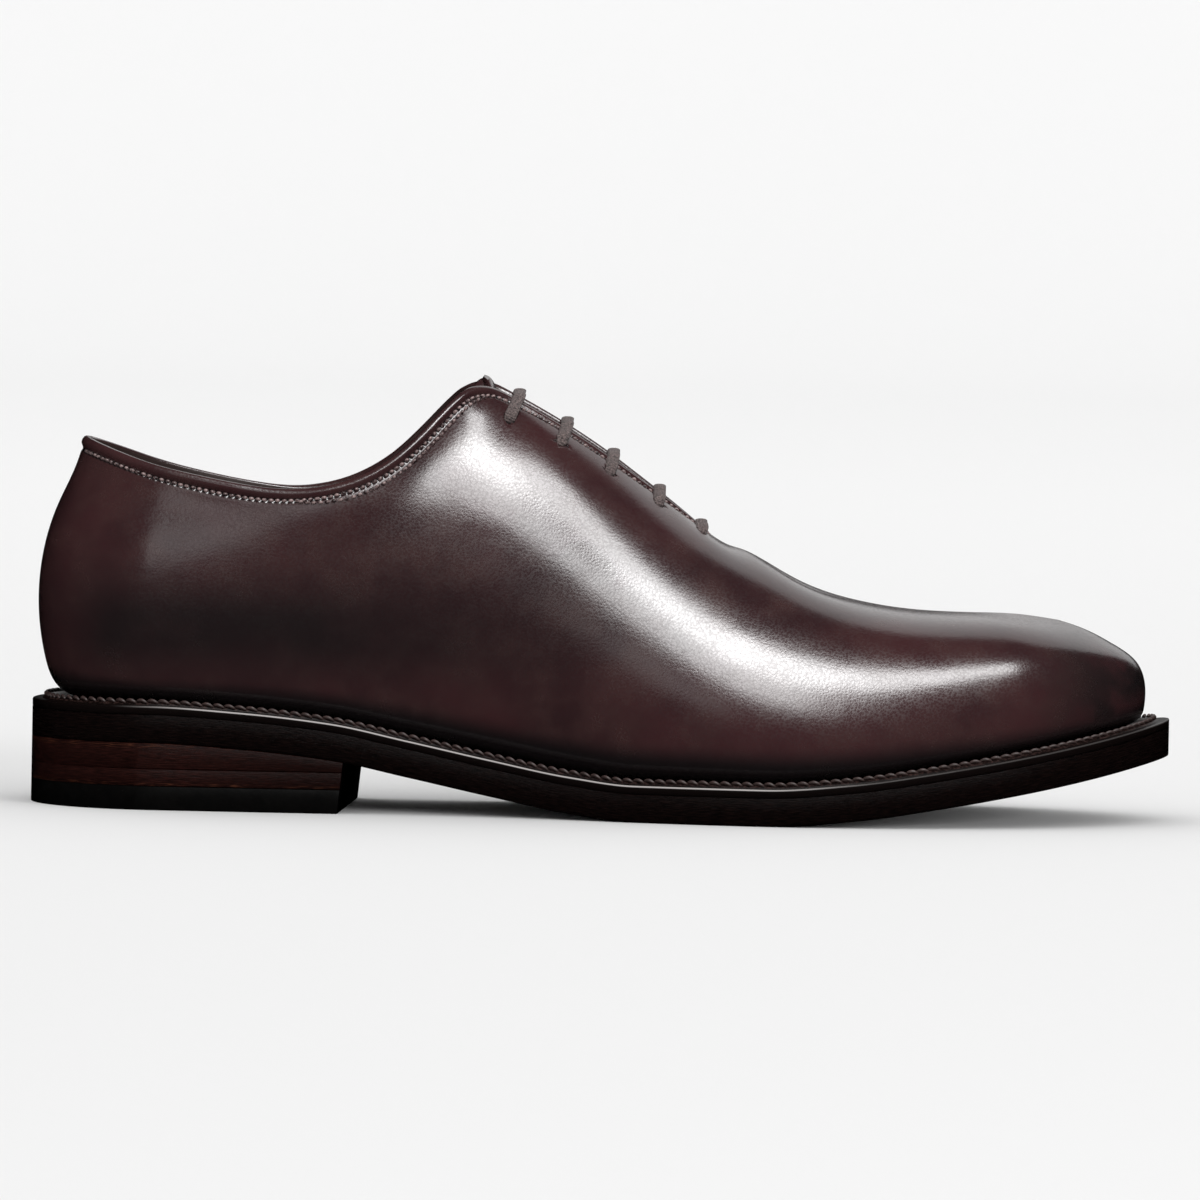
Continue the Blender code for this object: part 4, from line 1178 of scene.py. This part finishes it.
def welt_leather():
    """Dark polished welt: near black on its edge, browner on its rib, with a painted highlight along the
    rim's upper edge.
    """
    s = Shader("welt_leather")
    strip = s.value("strip")[1]
    _, height, inset = s.xyz(strip)
    x = s.xyz(s.place())[0]
    top = SOLE_THICK + WELT_THICK
    tone = s.noise(s.scaled(strip, 0.35, 5.0, 1.0), 1.0, 4, 0.6)
    speckle = s.step(s.noise(s.place(), 1100, 3, 0.7), 0.42, 0.68)
    rib = s.step(height, top - 0.05, top + 0.5)
    base = s.mix(rib, s.mix(tone, *WELT_TONES), s.mix(speckle, *RIB_TONES))
    # A painted highlight: a thin bright line along the rim's upper edge, fading towards the toe and the heel
    line = s.times(s.step(height, top - 0.45, top - 0.25), s.step(inset, 0.75, 0.45))
    ends = s.times(s.step(x, *WELT_HIGHLIGHT_X[0], 0.12, 1.0), s.step(x, *WELT_HIGHLIGHT_X[1]))
    line = s.times(line, ends)
    s.set(Base_Color=s.mix(line, base, WELT_PAINTED_HIGHLIGHT), Roughness=s.step(line, 0, 1, 0.36, 0.22),
          Specular_IOR_Level=0.06, Normal=s.bump(tone, 0.00004))
    return s.material


def sole_edge():
    """Blackened sole edge with fine fibres that run along it."""
    s = Shader("sole_edge")
    fibres = s.noise(s.scaled(s.value("strip")[1], 0.30, 4.5, 1.0), 1.0, 5, 0.65)
    s.set(Base_Color=s.mix(s.step(fibres, 0.38, 0.72), *SOLE_TONES),
          Roughness=s.step(fibres, 0.3, 0.7, 0.22, 0.32), Specular_IOR_Level=0.025,
          Normal=s.bump(fibres, 0.00012))
    return s.material


def heel_stack():
    """Reddish brown stacked leather, with lighter fibres along the joints of its layers and painted shade
    towards the breast.
    """
    s = Shader("heel_stack")
    strip = s.value("strip")[1]
    height = s.xyz(strip)[1]
    fibres = s.noise(s.scaled(strip, 0.28, 3.6, 1.0), 1.0, 5, 0.65)
    base = s.mix(s.step(fibres, 0.35, 0.7), *STACK_TONES)
    joints = [s.step(s.math("ABSOLUTE", s.math("SUBTRACT", height, at)), 0.9, 0.2) for at in STACK_JOINTS]
    streaks = s.times(s.math("MAXIMUM", *joints), s.step(fibres, 0.48, 0.66))
    patches = s.noise(s.scaled(strip, 0.09, 0.4, 1.0), 1.0, 3, 0.6)
    streaks = s.times(streaks, s.step(patches, 0.38, 0.62, 0.15, 1.0))
    base = s.mix(streaks, base, STACK_STREAK)
    # Painted shade, darker towards the heel's breast
    base = s.mix(s.step(s.xyz(s.place())[0], *STACK_SHADE_X, 0.0, 0.55), base, STACK_SHADE)
    s.set(Base_Color=base, Roughness=0.3, Specular_IOR_Level=0.03, Normal=s.bump(fibres, 0.00010))
    return s.material


def lace_cotton():
    """Waxed cotton with a felted, braided surface."""
    s = Shader("lace_cotton")
    place = s.place()
    strip = s.xyz(s.value("strip")[1])
    waves = s.times(strip[0], BRAID[0]), s.times(strip[1], BRAID[1])
    braid = s.times(*(s.math("SINE", s.math(way, *waves)) for way in ("ADD", "SUBTRACT")))
    fuzz = s.noise(place, 1700, 4, 0.75)
    patch = s.noise(place, 320, 2)
    base = s.mix(s.step(fuzz, 0.36, 0.66), *LACE_TONES)
    base = s.mix(s.step(patch, 0.35, 0.7, 0.0, 0.45), base, LACE_PATCH)
    s.set(Base_Color=base, Roughness=0.85, Normal=s.bump(fuzz, 0.00030, s.bump(braid, 0.00012)),
          Sheen_Weight=0.06, Sheen_Roughness=0.4)
    return s.material


def softbox(box):
    """A rectangular light around the shoe. Azimuth 0 is on the camera's side, 90 beyond the toe."""
    light = bpy.data.lights.new(box.name, "AREA")
    light.shape = "RECTANGLE"
    light.size, light.size_y = box.width, box.height
    light.energy = box.power
    a, e = math.radians(box.azimuth), math.radians(box.elevation)
    way = Vector((math.sin(a) * math.cos(e), -math.cos(a) * math.cos(e), math.sin(e)))
    place = Vector(LIGHT_TARGET) + box.distance * way
    facing = (Vector(LIGHT_TARGET) - place).to_track_quat("-Z", "Y").to_matrix().to_4x4()
    facing.translation = place
    made = linked(box.name, light)
    made.matrix_world = facing @ Matrix.Rotation(math.radians(box.roll), 4, "Z")
    return made


def camera():
    """A long lens square to the shoe's outer side."""
    rise, roll = math.radians(CAMERA_RISE), math.radians(CAMERA_ROLL)
    ahead = Vector((0, math.cos(rise), -math.sin(rise)))
    level, upright = Vector((1, 0, 0)), Vector((0, math.sin(rise), math.cos(rise)))
    right = level * math.cos(roll) + upright * math.sin(roll)
    up = upright * math.cos(roll) - level * math.sin(roll)
    data = bpy.data.cameras.new("camera")
    data.sensor_width = SENSOR
    data.lens = SENSOR * CAMERA_DISTANCE / FRAME_WIDTH
    data.clip_end = CLIP_END
    matrix = Matrix((right, up, -ahead)).transposed().to_4x4()
    matrix.translation = Vector(CAMERA_TARGET) - ahead * CAMERA_DISTANCE
    made = linked("camera", data)
    made.matrix_world = matrix
    bpy.context.scene.camera = made


def floor_and_backdrop():
    """A pale floor that curves up behind the shoe."""
    s = Shader("pale_paper")
    tone = s.step(s.xyz(s.place())[1], *FLOOR_FADE)
    s.set(Base_Color=s.mix(tone, *FLOOR_TONES), Roughness=1.0, Specular_IOR_Level=0.0)
    profile = [(FLOOR_FRONT, 0.0), (FLOOR_BACK, 0.0)]
    for a in np.linspace(0, math.pi / 2, CURVE_STEPS)[1:]:
        profile.append((FLOOR_BACK + CURVE_RADIUS * math.sin(a), CURVE_RADIUS - CURVE_RADIUS * math.cos(a)))
    profile.append((FLOOR_BACK + CURVE_RADIUS, WALL_TOP))
    points = [(x, y, z) for y, z in profile for x in (-FLOOR_HALF, FLOOR_HALF)]
    faces = [(2 * i, 2 * i + 1, 2 * i + 3, 2 * i + 2) for i in range(len(profile) - 1)]
    mesh = bpy.data.meshes.new("floor")
    mesh.from_pydata(points, [], faces)
    mesh.materials.append(s.material)
    mesh.shade_smooth()
    made = linked("floor", mesh)
    made.visible_glossy = False
    return made


def lighting(pieces, floor):
    """Even white surroundings for the floor, and softboxes for the shoe alone."""
    world = bpy.data.worlds.new("world")
    world.use_nodes = True
    background = world.node_tree.nodes["Background"]
    background.inputs["Color"].default_value = (1, 1, 1, 1)
    background.inputs["Strength"].default_value = WORLD_LIGHT
    bpy.context.scene.world = world
    world.cycles_visibility.glossy = False
    for name, lit, boxes in (("shoe", pieces, SOFTBOXES), ("ground", [floor], [FLOOR_BOX])):
        group = bpy.data.collections.new(f"{name}_lit_alone")
        for piece in lit:
            group.objects.link(piece)
        for box in boxes:
            softbox(box).light_linking.receiver_collection = group
    bpy.context.scene.view_settings.view_transform = "Standard"


def show(made, *nodes):
    """The piece stands for CAD solids and moves with the shoe."""
    if nodes:
        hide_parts(*nodes)
    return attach(made, "root")


def shoe():
    """Every visible piece of the shoe."""
    lower_lift = TOP_PIECE_THICK + GAP
    upper_lift = lower_lift + LOWER_LIFT_THICK + GAP
    leather, lining, stack = calf_leather(), lining_leather(), heel_stack()
    bars = [f"lace_bar_{place}" for place in range(1, len(EYELET_X) + 1)]
    pieces = [
        show(upper(leather, lining, plain(HOLE_WALL)), "upper"),
        show(tongue_piece(leather), "tongue"),
        show(insole_piece(lining), "insole"),
        show(welt_piece(welt_leather()), "welt"),
        show(welt_stitches(plain(WAXED_THREAD))),
        show(outsole_piece(sole_edge()), "outsole"),
        show(heel_piece("top_piece", 0.0, lambda x: lower_lift, plain(RUBBER)), "heel_top_piece"),
        show(heel_piece("lower_lift", lower_lift, lambda x: upper_lift, stack), "heel_lift_lower"),
        show(heel_piece("upper_lift", upper_lift, underside, stack), "heel_lift_upper"),
        show(lace(lace_cotton()), *bars)]
    return pieces + [show(row) for row in topline_stitches(plain(TOPLINE_THREAD))]


pieces = shoe()
camera()
lighting(pieces, floor_and_backdrop())
